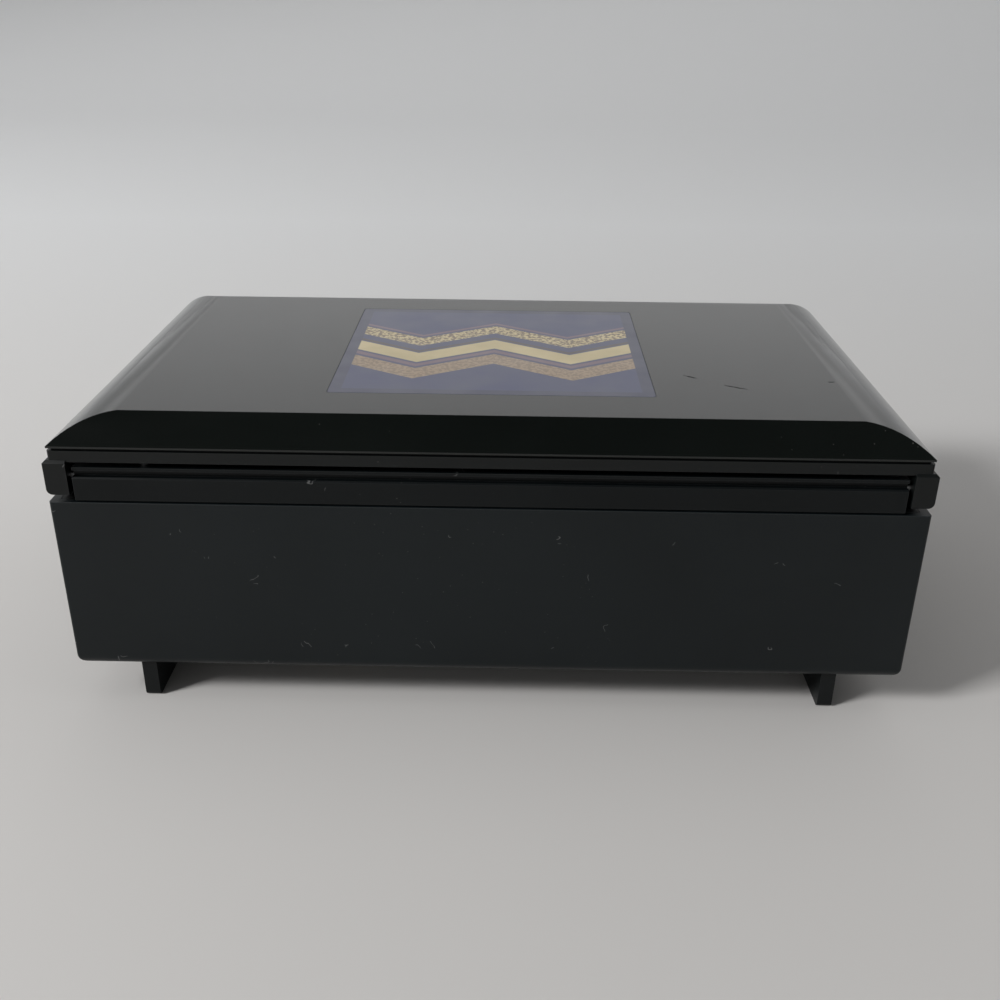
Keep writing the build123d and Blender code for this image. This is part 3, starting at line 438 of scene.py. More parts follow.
@dataclass(frozen=True)
class PileFinish:
    """Velvet or flock: short pile with sheen, brushed patches and a soft nap."""

    name: str
    colour: Colour
    sheen: float = 0.8
    nap: float = 0.00025
    nap_scale: float = 2600.0
    nap_band: Pair = (0.3, 0.7)
    nap_share: float = 0.5
    brushed_scale: float = 45.0
    brushed_stretch: Triple = (1.0, 1.7, 1.0)
    brushed_band: Pair = (0.35, 0.68)
    light_tone: Pair = (1.5, 0.01)
    dark_tone: float = 0.55
    roughness: float = 0.95
    gloss: float = 0.2
    sheen_roughness: float = 0.45
    sheen_tint: Colour = (0.9, 0.55, 0.55)

    def make(self) -> bpy.types.Material:
        """Builds the material.

        Returns:
            The finished material.
        """
        graph = Graph(self.name)
        stretched = graph.scaled(self.brushed_stretch)
        brushed = graph.texture(Texture.NOISE, self.brushed_scale, stretched, detail=4.0)
        nap = graph.texture(Texture.NOISE, self.nap_scale, detail=2.0)
        dark = toned(self.colour, self.dark_tone)
        base = graph.mix(graph.band(brushed, *self.brushed_band), dark, toned(self.colour, *self.light_tone))
        base = graph.mix(graph.band(nap, *self.nap_band, 0.0, self.nap_share), base, dark)
        graph.set(base_color=base, roughness=self.roughness, sheen_weight=self.sheen,
                  sheen_roughness=self.sheen_roughness, sheen_tint=self.sheen_tint,
                  specular_ior_level=self.gloss)
        graph.relief(nap, self.nap)
        return graph.material


@dataclass(frozen=True)
class ClearFinish:
    """Clear moulded plate with faint scratches: a thin dark tint that covers little and mirrors the room."""

    name: str
    tint: Colour = (0.05, 0.055, 0.06)
    cover: float = 0.16
    refraction: float = 2.2
    scratch_scale: Triple = (60.0, 1800.0, 60.0)
    scratch_turn: Triple = (0, 0, 0.5)
    scratch_band: Pair = (0.6, 0.75)
    rough_range: Pair = (0.03, 0.16)

    def make(self) -> bpy.types.Material:
        """Builds the material.

        Returns:
            The finished material.
        """
        graph = Graph(self.name)
        stretched = graph.scaled(self.scratch_scale, self.scratch_turn)
        scratches = graph.texture(Texture.NOISE, 1.0, stretched, detail=2.0)
        rough = graph.band(scratches, *self.scratch_band, *self.rough_range)
        graph.set(base_color=self.tint, roughness=rough, ior=self.refraction, alpha=self.cover)
        return graph.material


@dataclass(frozen=True)
class MirrorFinish:
    """Silvered glass with a slight haze."""

    name: str
    bright: Colour = (0.86, 0.88, 0.88)
    hazed: Colour = (0.8, 0.82, 0.82)
    haze_scale: float = 25.0
    haze_band: Pair = (0.4, 0.8)
    rough_band: Pair = (0.5, 0.9)
    rough_range: Pair = (0.015, 0.06)

    def make(self) -> bpy.types.Material:
        """Builds the material.

        Returns:
            The finished material.
        """
        graph = Graph(self.name)
        haze = graph.texture(Texture.NOISE, self.haze_scale, detail=4.0)
        base = graph.mix(graph.band(haze, *self.haze_band), self.bright, self.hazed)
        rough = graph.band(haze, *self.rough_band, *self.rough_range)
        graph.set(base_color=base, roughness=rough, metallic=1.0)
        return graph.material


@dataclass(frozen=True)
class InlayFinish:
    """Printed panel: nested chevron stripes with speckled bands on a slate-blue field, under a gloss coat."""

    name: str
    centre: Pair
    half: Pair
    field_colour: Colour = (0.026, 0.032, 0.090)
    field_tone: float = 1.35
    border_tone: float = 0.72
    cream: Colour = (0.56, 0.46, 0.24)
    tan: Colour = (0.22, 0.155, 0.095)
    mauve: Colour = (0.15, 0.09, 0.12)
    brown: Colour = (0.06, 0.04, 0.03)
    pitch: float = 0.0225
    slope: float = 0.62
    border: float = 0.0035
    soft: float = 0.00012
    speckle_scale: float = 900.0
    speckle_depth: float = 0.000004
    cloud_scale: float = 70.0
    cloud_band: Pair = (0.3, 0.75)
    refraction: float = 1.5
    rough_band: Pair = (0.3, 0.8)
    rough_range: Pair = (0.3, 0.42)
    coat: float = 0.35
    coat_roughness: float = 0.22

    def stripes(self, graph: Graph, speckle: Socket, cloud: Socket) -> tuple[
            tuple[float, float, "Socket | Colour"], ...]:
        """The six stripes from the rear one to the front one.

        Args:
            graph: the material's nodes.
            speckle: fine pattern of the speckled stripes.
            cloud: broad pattern of the washed stripe.

        Returns:
            Lower and upper height over the zigzag in metres, and paint, of each stripe.
        """
        grained = graph.mix(graph.band(speckle, 0.48, 0.52), self.tan, toned(self.tan, 1.5))
        washed = graph.mix(graph.band(cloud, 0.4, 0.7), self.cream, toned(self.cream, 0.85))
        flecked = graph.mix(graph.band(speckle, 0.46, 0.54), toned(self.tan, 0.8), self.cream)
        return (
            (0.0060, 0.0150, grained),
            (0.0020, 0.0045, self.mauve),
            (-0.0080, 0.0006, washed),
            (-0.0105, -0.0090, self.brown),
            (-0.0230, -0.0150, flecked),
            (-0.0262, -0.0245, self.mauve),
        )

    def make(self) -> bpy.types.Material:
        """Builds the material.

        The height above a zigzag is y minus slope times the fold of x; equal heights form nested chevrons,
        and each stripe lies between two heights.

        Returns:
            The finished material.
        """
        graph = Graph(self.name)
        centred = graph.scaled((1, 1, 1), move=(-self.centre[0], -self.centre[1], 0))
        across, along, _ = graph.split(centred)
        fold = graph.math("PINGPONG", across, self.pitch)
        height = graph.math("SUBTRACT", along, graph.math("MULTIPLY", fold, self.slope))
        speckle = graph.texture(Texture.NOISE, self.speckle_scale, detail=2.0)
        cloud = graph.texture(Texture.NOISE, self.cloud_scale, detail=4.0)
        clouded = graph.band(cloud, *self.cloud_band)
        colour = graph.mix(clouded, self.field_colour, toned(self.field_colour, self.field_tone))
        for low, high, paint in self.stripes(graph, speckle, cloud):
            above = graph.band(height, low - self.soft, low + self.soft)
            below = graph.band(height, high + self.soft, high - self.soft)
            colour = graph.mix(graph.math("MULTIPLY", above, below), colour, paint)
        rim_x = graph.math("SUBTRACT", self.half[0], graph.math("ABSOLUTE", across))
        rim_y = graph.math("SUBTRACT", self.half[1], graph.math("ABSOLUTE", along))
        rim = graph.band(graph.math("MINIMUM", rim_x, rim_y), self.border, self.border - 2 * self.soft)
        colour = graph.mix(rim, colour, toned(self.field_colour, self.border_tone))
        rough = graph.band(cloud, *self.rough_band, *self.rough_range)
        graph.set(base_color=colour, roughness=rough, ior=self.refraction,
                  coat_weight=self.coat, coat_roughness=self.coat_roughness)
        graph.relief(speckle, self.speckle_depth)
        return graph.material


Finish = PlasticFinish | MetalFinish | PileFinish | ClearFinish | MirrorFinish | InlayFinish

NEAR_BLACK: Colour = (0.0016, 0.0040, 0.0050)
FRAME_BLACK: Colour = (0.0016, 0.0028, 0.0032)
MATT_BLACK: Colour = (0.0022, 0.0034, 0.0038)
LID_BLACK: Colour = (0.0020, 0.0032, 0.0026)
BAND_BLACK: Colour = (0.0020, 0.0030, 0.0030)
STEEL: Colour = (0.60, 0.61, 0.62)
BRASS: Colour = (0.80, 0.60, 0.30)
WINE: Colour = (0.150, 0.010, 0.020)
VELVET_WINE: Colour = (0.19, 0.012, 0.026)
LID_SCUFFS: tuple[Scuff, ...] = (
    (-0.0674, 0.0433, 0.0080, -0.49),
    (-0.0950, 0.0376, 0.0026, 0.2),
    (-0.0560, 0.0350, 0.0050, -0.6),
)


def middle(node: str) -> Pair:
    """X and Y of the middle of a node's box."""
    low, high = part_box(node)
    return (low.x + high.x) / 2, (low.y + high.y) / 2


def half_size(node: str) -> Pair:
    """Half the X and Y size of a node's box."""
    low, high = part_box(node)
    return (high.x - low.x) / 2, (high.y - low.y) / 2


def node_finishes() -> dict[str, Finish]:
    """Chooses the finishes.

    Returns:
        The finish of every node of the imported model, by the node's name.
    """
    # The high edge values of the case and frame paint light lines along their edges: partly wear, partly
    # painted highlight.
    case = PlasticFinish("case_gloss", NEAR_BLACK, 0.42, dust=0.15, edge=0.9, gloss=0.3)
    frame_gloss = PlasticFinish("frame_gloss", FRAME_BLACK, 0.36, dust=0.25, edge=0.5, gloss=0.2)
    lid = PlasticFinish("lid_gloss", LID_BLACK, 0.15, lint=0.0, scuffs=LID_SCUFFS)
    lid_band = PlasticFinish("lid_band_gloss", BAND_BLACK, 0.36, gloss=0.28)
    matt = PlasticFinish("matt_moulding", MATT_BLACK, 0.42, 0.00001, dust=0.2, gloss=0.25)
    drawer_box = PlasticFinish("drawer_moulding", (0.010, 0.011, 0.011), 0.4, lint=0.0)
    bezel = PlasticFinish("bezel_gloss", (0.009, 0.009, 0.009), 0.2, dust=0.1, lint=0.0)
    rubber = PlasticFinish("bumper_rubber", (0.02, 0.02, 0.02), 0.7, dust=0.1, lint=0.0)
    nylon = PlasticFinish("nylon_wheel", (0.70, 0.68, 0.60), 0.4, dust=0.0, lint=0.0)
    fly = PlasticFinish("fly_moulding", (0.05, 0.05, 0.05), 0.45, dust=0.0, lint=0.0)
    screws = MetalFinish("screw_zinc", (0.62, 0.62, 0.60), 0.3)
    steel = MetalFinish("turned_steel", STEEL, 0.24)
    wheels = MetalFinish("stamped_brass", BRASS, 0.25)
    knob = MetalFinish("knob_brass", (0.82, 0.62, 0.30), 0.16, (2000.0, 200.0, 2000.0), 0.25)
    bed = MetalFinish("cast_bed", (0.58, 0.50, 0.34), 0.42, (900.0, 900.0, 900.0), 0.4)
    comb = MetalFinish("ground_comb", (0.66, 0.67, 0.69), 0.2, (3000.0, 150.0, 3000.0), 0.15)
    drum = MetalFinish("nickel_drum", (0.66, 0.65, 0.61), 0.22, (1500.0, 1500.0, 200.0))
    spring = MetalFinish("blued_spring", (0.22, 0.25, 0.33), 0.3)
    key = MetalFinish("worn_key", (0.70, 0.56, 0.30), 0.32, (600.0, 600.0, 600.0), 0.5)
    cylinder = MetalFinish("turned_cylinder", (0.79, 0.61, 0.33), 0.22, (3000.0, 120.0, 120.0), 0.2)
    bracket = MetalFinish("folded_bracket", (0.58, 0.58, 0.56), 0.34)
    flock = PileFinish("wine_flock", WINE)
    velvet = PileFinish("wine_velvet", VELVET_WINE, 1.0)
    return {
        "lower_case": case,
        "left_foot": matt,
        "right_foot": matt,
        "upper_frame": frame_gloss,
        "foot_screws": screws,
        "movement_screws": screws,
        "comb_screws": screws,
        "lid_screws": screws,
        "drawer_screws": screws,
        "hinge_pins": steel,
        "jewel_tray": flock,
        "movement_window": ClearFinish("clear_window"),
        "ring_rolls": velvet,
        "drawer_runners": matt,
        "drawer_box": drawer_box,
        "drawer_front": case,
        "drawer_lining": velvet,
        "drawer_dividers": velvet,
        "drawer_knob": knob,
        "lid_cover": lid,
        "lid_frame": lid_band,
        "picture_inlay": InlayFinish("chevron_print", middle("picture_inlay"), half_size("picture_inlay")),
        "lid_liner": flock,
        "mirror": MirrorFinish("silvered_glass"),
        "mirror_bezel": bezel,
        "lid_bumpers": rubber,
        "bedplate": bed,
        "comb": comb,
        "spring_housing": drum,
        "mainspring": spring,
        "winding_arbor": steel,
        "crown_wheel": wheels,
        "winding_key": key,
        "pinned_cylinder": cylinder,
        "cylinder_shaft": steel,
        "end_gear": wheels,
        "drive_gear": wheels,
        "governor_pinion": steel,
        "worm_wheel": nylon,
        "governor_bracket": bracket,
        "fly_shaft": steel,
        "air_brake": fly,
        "stop_plunger": steel,
    }


@dataclass
class Dresser:
    """Gives every piece the finish of its node, one material for each finish."""

    finishes: dict[str, Finish]
    made: dict[str, bpy.types.Material] = field(default_factory=dict)

    def material(self, finish: Finish) -> bpy.types.Material:
        """Makes a finish's material once.

        Args:
            finish: the finish.

        Returns:
            Its material.
        """
        if finish.name not in self.made:
            self.made[finish.name] = finish.make()
        return self.made[finish.name]

    def dress(self, piece: bpy.types.Object, node: str) -> None:
        """Puts the node's finish on a piece in place of what it had."""
        piece.data.materials.clear()
        piece.data.materials.append(self.material(self.finishes[node]))

    def dress_nodes(self) -> None:
        """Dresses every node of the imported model."""
        for node, finish in self.finishes.items():
            self.dress(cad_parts[node], node)
            log.info("%s in %s", node, finish.name)


@dataclass
class Softened:
    """Copy of a moulded node with merged faces and small rounded edges that catch the light."""

    node: str
    body: Body
    slot: str
    radius: float = 0.00025
    segments: int = 2
    flat_angle: float = math.radians(0.6)
    edge_angle: float = math.radians(32)
    normal_weight: int = 100

    def build(self) -> bpy.types.Object:
        """Builds the copy and lets it stand for the node.

        Returns:
            The new piece.
        """
        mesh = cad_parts[self.node].data.copy()
        work = bmesh.new()
        work.from_mesh(mesh)
        bmesh.ops.remove_doubles(work, verts=work.verts, dist=MERGE_DISTANCE)
        bmesh.ops.dissolve_limit(work, angle_limit=self.flat_angle, verts=work.verts, edges=work.edges)
        work.to_mesh(mesh)
        work.free()
        mesh.shade_smooth()
        mesh.name = f"{self.node}_softened"
        piece = linked(mesh.name, mesh)
        bevel = piece.modifiers.new("rounded_edges", "BEVEL")
        bevel.width = self.radius
        bevel.segments = self.segments
        bevel.limit_method = "ANGLE"
        bevel.angle_limit = self.edge_angle
        weighted = piece.modifiers.new("flat_faces_stay_flat", "WEIGHTED_NORMAL")
        weighted.mode = "FACE_AREA"
        weighted.weight = self.normal_weight
        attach(piece, self.body.value)
        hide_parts(self.node)
        log.info("%s with rounded edges", piece.name)
        return piece


def closed_surface(name: str, grid: np.ndarray) -> bpy.types.Object:
    """Closed smooth mesh over a grid that runs around in its columns, fanned shut at its first and last row.

    Args:
        name: the new piece's name.
        grid: rows by columns by three, in metres, running clockwise as seen along the rows.

    Returns:
        The new piece, linked to the scene.
    """
    rows, count = grid.shape[:2]
    points = np.concatenate([grid.reshape(-1, 3), grid[:1].mean(1), grid[-1:].mean(1)])
    start = count * np.arange(rows - 1)[:, None]
    here = np.arange(count)[None, :]
    after = (here + 1) % count
    quads = np.stack([start + here, start + after, start + count + after, start + count + here], -1)
    first, last = np.full_like(here, rows * count), np.full_like(here, rows * count + 1)
    end = count * (rows - 1)
    top_fan = np.stack([first, after, here], -1)
    bottom_fan = np.stack([last, end + here, end + after], -1)
    fans = np.concatenate([top_fan, bottom_fan], 1)
    mesh = bpy.data.meshes.new(name)
    mesh.from_pydata(points.tolist(), [], quads.reshape(-1, 4).tolist() + fans.reshape(-1, 3).tolist())
    mesh.shade_smooth()
    return linked(name, mesh)


def turned(name: str, base: np.ndarray, axis: np.ndarray, radius: np.ndarray, height: np.ndarray,
           turn: float = 0.0) -> bpy.types.Object:
    """Turned piece: a point is the base, plus height along the axis, plus radius across it at its angle.

    Args:
        name: the new piece's name.
        base: where height is 0.
        axis: unit direction of rising height.
        radius: rows by columns, the rows from the highest to the lowest.
        height: rows by columns.
        turn: angle of the first column.

    Returns:
        The new piece.
    """
    angle = turn - 2 * math.pi * np.arange(radius.shape[1]) / radius.shape[1]
    helper = np.eye(3)[np.argmin(np.abs(axis))]
    side = np.cross(axis, helper)
    side /= np.linalg.norm(side)
    up = np.cross(axis, side)
    spoke = np.cos(angle)[:, None] * side + np.sin(angle)[:, None] * up
    piece = closed_surface(name, base + height[..., None] * axis + radius[..., None] * spoke)
    piece.data.set_sharp_from_angle(angle=CREASE_ANGLE)
    return piece


@dataclass
class ScrewSet:
    """Cross-recess screws with a rolled thread and a cut point, one for each screw solid of a node."""

    node: str
    body: Body
    columns: int = 48
    rim_round: float = 0.00045
    crown: float = 0.00008
    arm_width: float = 0.00034
    arm_reach: float = 0.0013
    recess_depth: float = 0.0008
    recess_soft: float = 0.0001
    thread_depth: float = 0.00024
    thread_pitch: float = 0.0009
    point_length: float = 0.0009
    tip: float = 0.0001
    recess_slope: float = 0.5
    first_ring: float = 0.04
    under_head: float = 0.000001
    drive_turn: float = 2.4
    rings: int = 18
    round_steps: int = 5
    thread_steps: int = 5
    cone_steps: int = 5

    def solids(self) -> list[np.ndarray]:
        """Finds the node's screw solids, by walking from corner to corner along edges.

        Returns:
            Corner points of each solid, in the order of their middles.
        """
        work = bmesh.new()
        work.from_mesh(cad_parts[self.node].data)
        bmesh.ops.remove_doubles(work, verts=work.verts, dist=MERGE_DISTANCE)
        found, seen = [], set()
        for vert in work.verts:
            if vert.index in seen:
                continue
            seen.add(vert.index)
            open_verts, corners = [vert], []
            while open_verts:
                current = open_verts.pop()
                corners.append(tuple(current.co))
                others = [edge.other_vert(current) for edge in current.link_edges]
                fresh = [other for other in others if other.index not in seen]
                seen.update(other.index for other in fresh)
                open_verts.extend(fresh)
            found.append(np.array(corners))
        work.free()
        return sorted(found, key=lambda corners: tuple(corners.mean(0).round(5)))

    def measure(self, corners: np.ndarray) -> tuple[np.ndarray, np.ndarray, float, float, float, float]:
        """Measures one screw solid.

        The axis is the direction whose spread differs most from the other two, and points to the wider end.

        Args:
            corners: the solid's corner points.

        Returns:
            Top, axis, head radius, head height, shank radius and length.
        """
        centre = corners.mean(0)
        spread, directions = np.linalg.eigh(np.cov((corners - centre).T))
        axis = directions[:, np.argmax(np.abs(spread - np.median(spread)))]
        along = (corners - centre) @ axis
        out = np.linalg.norm(corners - centre - along[:, None] * axis, axis=1)
        if out[np.argmax(along)] < out[np.argmin(along)]:
            axis, along = -axis, -along
        head = out > (out.max() + out.min()) / 2
        top = centre + along.max() * axis
        return top, axis, out.max(), along.max() - along[head].min(), out.min(), along.max() - along.min()

    def surface(self, head_radius: float, head_height: float, shank: float, length: float) -> tuple[
            np.ndarray, np.ndarray]:
        """Radius and height of each grid point, from the top's middle to the point.

        The top is a low crown less a cross of two soft-sided bars that get shallower outwards, then a quarter
        round, the side, the under side, and a thread whose radius falls and rises as a triangle wave that
        climbs with the angle, and last a cone.

        Args:
            head_radius: radius of the head in metres.
            head_height: height of the head.
            shank: radius of the shank.
            length: full length with the head.

        Returns:
            Radius and height, each of rows by columns.
        """
        angle = 2 * math.pi * np.arange(self.columns) / self.columns
        flat = np.linspace(self.first_ring, 1.0, self.rings) * (head_radius - self.rim_round)
        bend = np.linspace(0.0, math.pi / 2, self.round_steps)[1:]
        thread_end = length - self.point_length
        run = np.arange(head_height, thread_end, self.thread_pitch / self.thread_steps)
        cone = np.linspace(0.0, 1.0, self.cone_steps)
        radius = np.concatenate([
            flat,
            head_radius - self.rim_round * (1 - np.sin(bend)),
            [head_radius, shank],
            np.full(len(run), shank),
            shank + (self.tip - shank) * cone])
        depth = np.concatenate([
            self.crown * (flat / head_radius) ** 2,
            self.crown + self.rim_round * (1 - np.cos(bend)),
            [head_height, head_height],
            run,
            thread_end + self.point_length * cone])
        radius = np.repeat(radius[:, None], self.columns, 1)
        depth = np.repeat(depth[:, None], self.columns, 1)
        x, y = np.abs(radius * np.cos(angle)), np.abs(radius * np.sin(angle))
        bar = np.clip((self.arm_width - np.minimum(x, y)) / self.recess_soft + 0.5, 0.0, 1.0)
        reach = np.clip((self.arm_reach - np.maximum(x, y)) / self.recess_soft + 0.5, 0.0, 1.0)
        top = np.arange(len(radius))[:, None] < len(flat)
        depth += top * bar * reach * self.recess_depth * (1 - self.recess_slope * radius / self.arm_reach)
        wave = np.abs(2 * np.mod(depth / self.thread_pitch + angle / (2 * math.pi), 1.0) - 1)
        threaded = (depth > head_height + self.under_head) & (depth < thread_end)
        radius -= threaded * self.thread_depth * wave
        return radius, -depth

    def build(self) -> list[bpy.types.Object]:
        """Builds every screw of the set.

        Returns:
            The screws.
        """
        screws = []
        for index, corners in enumerate(self.solids()):
            top, axis, head_radius, head_height, shank, length = self.measure(corners)
            radius, height = self.surface(head_radius, head_height, shank, length)
            piece = turned(f"{self.node}_{index}", top, axis, radius, height, self.drive_turn * index)
            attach(piece, self.body.value)
            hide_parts(self.node)
            screws.append(piece)
        log.info("%s: %d screws", self.node, len(screws))
        return screws


@dataclass
class TurnedKnob:
    """Knob turned in one piece: foot bead, neck, flared body, round rim, face groove and shallow dome."""

    columns: int = 96
    foot: float = 0.0036
    bead: float = 0.0006
    neck: float = 0.0029
    neck_at: float = 0.0036
    flare: float = 0.0060
    flare_at: float = 0.0082
    rim: float = 0.0008
    groove: float = 0.0003
    dome: float = 0.0052
    flare_power: float = 2.2
    rim_from: float = -60.0
    face_end: float = 0.0002
    bead_steps: int = 9
    neck_steps: int = 8
    body_steps: int = 20
    rim_steps: int = 12
    face_steps: int = 20

    def profile(self, widest: float, reach: float) -> tuple[np.ndarray, np.ndarray]:
        """Profile from the foot to the face: a bead, two power curves, a round and a dome.

        Args:
            widest: radius of the rim in metres.
            reach: length from the foot to the dome's middle.

        Returns:
            Radius and height of each row.
        """
        rim_middle = widest - self.rim
        around = np.linspace(-math.pi / 2, math.pi / 2, self.bead_steps)
        down = np.linspace(1.0, 0.0, self.neck_steps)[:-1]
        rise = np.linspace(0.0, 1.0, self.body_steps)[1:]
        over = np.radians(np.linspace(self.rim_from, 90, self.rim_steps))
        face = np.linspace(self.dome, self.face_end, self.face_steps)
        rim_at = self.flare_at + self.rim
        neck_start = 2 * self.bead
        bowl = rim_at + self.rim - self.groove
        radius = np.concatenate([
            self.foot + self.bead * np.cos(around),
            self.neck + (self.foot - self.bead - self.neck) * down ** 2,
            self.neck + (self.flare - self.neck) * rise ** self.flare_power,
            rim_middle + self.rim * np.cos(over),
            face])
        height = np.concatenate([
            self.bead * (1 + np.sin(around)),
            self.neck_at - (self.neck_at - neck_start) * down,
            self.neck_at + (self.flare_at - self.neck_at) * rise,
            rim_at + self.rim * np.sin(over),
            bowl + (reach - bowl) * (1 - (face / self.dome) ** 2)])
        return radius, height

    def build(self) -> bpy.types.Object:
        """Builds the knob inside the node's box.

        Returns:
            The knob.
        """
        low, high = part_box("drawer_knob")
        radius, height = self.profile((high.x - low.x) / 2, high.y - low.y)
        base = np.array([(low.x + high.x) / 2, high.y, (low.z + high.z) / 2])
        shape = [np.repeat(values[::-1, None], self.columns, 1) for values in (radius, height)]
        piece = turned("turned_knob", base, np.array([0.0, -1.0, 0.0]), shape[0], shape[1])
        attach(piece, Body.DRAWER.value)
        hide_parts("drawer_knob")
        log.info("%s turned", piece.name)
        return piece


@dataclass
class RingRoll:
    """Stuffed velvet roll: crowned section, rounded and gathered ends, and a sewn channel near each end."""

    index: int
    count: int = 3
    rows: int = 110
    columns: int = 48
    gap: float = 0.0008
    draw_in: float = 0.0006
    end_round: float = 0.0042
    gather_depth: float = 0.00022
    gather_folds: int = 15
    channel_from_end: float = 0.0062
    channel_depth: float = 0.0004
    channel_width: float = 0.0006
    gather_reach: float = 0.0035
    gather_start: float = 0.0012
    gather_wobble: float = 2.0
    wobble_waves: int = 3
    swell_cap: float = 0.00022
    centre_height: float = 0.42
    least_shrink: float = 0.01
    outline_steps: int = 40
    round_passes: int = 3
    held_height: float = 0.0004
    filling_frames: int = 15

    def section(self, width: float, height: float) -> np.ndarray:
        """Closed outline across the roll, spaced evenly and with softened foot corners.

        The outline runs up a drawn-in side, over a half circle as wide as the roll and down the other side;
        three passes of a three-point mean round its corners.

        Args:
            width: full width in metres.
            height: full height in metres.

        Returns:
            Y and Z for each column, with Z from 0.
        """
        foot = width / 2 - self.draw_in
        shoulder = height - width / 2
        turn = np.linspace(0.0, math.pi, self.outline_steps)
        y = np.concatenate([[0.0, foot], width / 2 * np.cos(turn), [-foot, 0.0]])
        z = np.concatenate([[0.0, 0.0], shoulder + width / 2 * np.sin(turn), [0.0, 0.0]])
        run = np.concatenate([[0.0], np.cumsum(np.hypot(np.diff(y), np.diff(z)))])
        places = np.arange(self.columns) * run[-1] / self.columns
        outline = np.stack([np.interp(places, run, y), np.interp(places, run, z)], 1)
        for _ in range(self.round_passes):
            outline = (np.roll(outline, 1, 0) + 2 * outline + np.roll(outline, -1, 0)) / 4
        return outline

    def points(self) -> np.ndarray:
        """Grid of points along and around the roll.

        Near an end the section shrinks as a quarter circle towards its middle. Gathers are cosine folds that
        fade with distance from the end, and the sewn channel is a narrow bell-shaped groove.

        Returns:
            Array of rows by columns by three, in metres.
        """
        low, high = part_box("ring_rolls")
        width = (high.y - low.y - (self.count - 1) * self.gap) / self.count
        start = low.y + self.index * (width + self.gap)
        outline = self.section(width, high.z - low.z)
        centre = np.array([0.0, (high.z - low.z) * self.centre_height])
        even = np.linspace(0.0, 1.0, self.rows)
        share = (1 - np.cos(np.linspace(0.0, math.pi, self.rows))) / 2
        share = 0.5 * share + 0.5 * even
        along = low.x + (high.x - low.x) * share
        from_end = np.minimum(along - low.x, high.x - along)
        near = np.clip(1 - from_end / self.end_round, 0.0, 1.0)
        shrink = np.sqrt(np.clip(1 - near ** 2, self.least_shrink, 1.0))
        angle = 2 * math.pi * np.arange(self.columns) / self.columns
        fade = np.exp(-from_end / self.gather_reach) * np.clip(from_end / self.gather_start, 0.0, 1.0)
        wobble = self.gather_wobble * np.sin(self.wobble_waves * angle)[None, :]
        folds = np.cos(self.gather_folds * angle[None, :] + self.index + wobble)
        groove = np.exp(-(((from_end - self.channel_from_end) / self.channel_width) ** 2))
        inward = self.gather_depth * fade[:, None] * (1 + folds) + self.channel_depth * groove[:, None]
        arm = outline - centre
        reach = np.linalg.norm(arm, axis=1)
        scale = shrink[:, None] * (1 - inward / reach[None, :])
        flat = centre + arm[None, :, :] * scale[:, :, None]
        grid = np.empty((self.rows, self.columns, 3))
        grid[:, :, 0] = along[:, None]
        grid[:, :, 1] = start + width / 2 + flat[:, :, 0]
        grid[:, :, 2] = low.z + flat[:, :, 1]
        return grid

    def fill(self, piece: bpy.types.Object) -> None:
        """Swells the roll as cloth under air pressure and keeps the result within the cap.

        Args:
            piece: the roll, whose mesh is changed in place.
        """
        before = np.empty(3 * len(piece.data.vertices))
        piece.data.vertices.foreach_get("co", before)
        before = before.reshape(-1, 3)
        still = piece.vertex_groups.new(name="held")
        floor = before[:, 2].min() + self.held_height
        still.add([int(i) for i in np.nonzero(before[:, 2] < floor)[0]], 1.0, "REPLACE")
        cloth = piece.modifiers.new("filling", "CLOTH")
        cloth.settings.quality = 6
        cloth.settings.mass = 0.2
        cloth.settings.tension_stiffness = 12.0
        cloth.settings.compression_stiffness = 12.0
        cloth.settings.bending_stiffness = 0.2
        cloth.settings.use_pressure = True
        cloth.settings.uniform_pressure_force = 4.0
        cloth.settings.shrink_min = -0.012
        cloth.settings.vertex_group_mass = "held"
        cloth.settings.effector_weights.gravity = 0.0
        scene = bpy.context.scene
        for step in range(1, self.filling_frames + 1):
            scene.frame_set(step)
        filled = piece.evaluated_get(bpy.context.evaluated_depsgraph_get())
        solved = filled.to_mesh()
        after = np.empty(3 * len(solved.vertices))
        solved.vertices.foreach_get("co", after)
        filled.to_mesh_clear()
        piece.modifiers.remove(cloth)
        piece.vertex_groups.clear()
        scene.frame_set(1)
        shift = after.reshape(-1, 3) - before
        size = np.linalg.norm(shift, axis=1, keepdims=True)
        shift *= np.minimum(1.0, self.swell_cap / np.maximum(size, TINY))
        piece.data.vertices.foreach_set("co", (before + shift).ravel())
        piece.data.update()

    def build(self) -> bpy.types.Object:
        """Returns:
            The finished roll.
        """
        piece = closed_surface(f"ring_roll_{self.index}", self.points())
        self.fill(piece)
        smooth = piece.modifiers.new("fine_form", "SUBSURF")
        smooth.levels = 1
        smooth.render_levels = 1
        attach(piece, Body.CASE.value)
        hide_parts("ring_rolls")
        log.info("%s filled", piece.name)
        return piece


@dataclass(frozen=True)
class Lamp:
    """Soft rectangular lamp, aimed at the box."""

    name: str
    place: Triple
    size: Pair
    power: float
    target: Triple = (0, 0, 0.04)

    def build(self) -> None:
        """Hangs the lamp where the camera doesn't see it."""
        light = bpy.data.lights.new(self.name, "AREA")
        light.shape = "RECTANGLE"
        light.size, light.size_y = self.size
        light.energy = self.power
        lamp = linked(self.name, light)
        lamp.location = self.place
        lamp.visible_camera = False
        aim = Vector(self.target) - Vector(self.place)
        lamp.rotation_euler = aim.to_track_quat("-Z", "Y").to_euler()


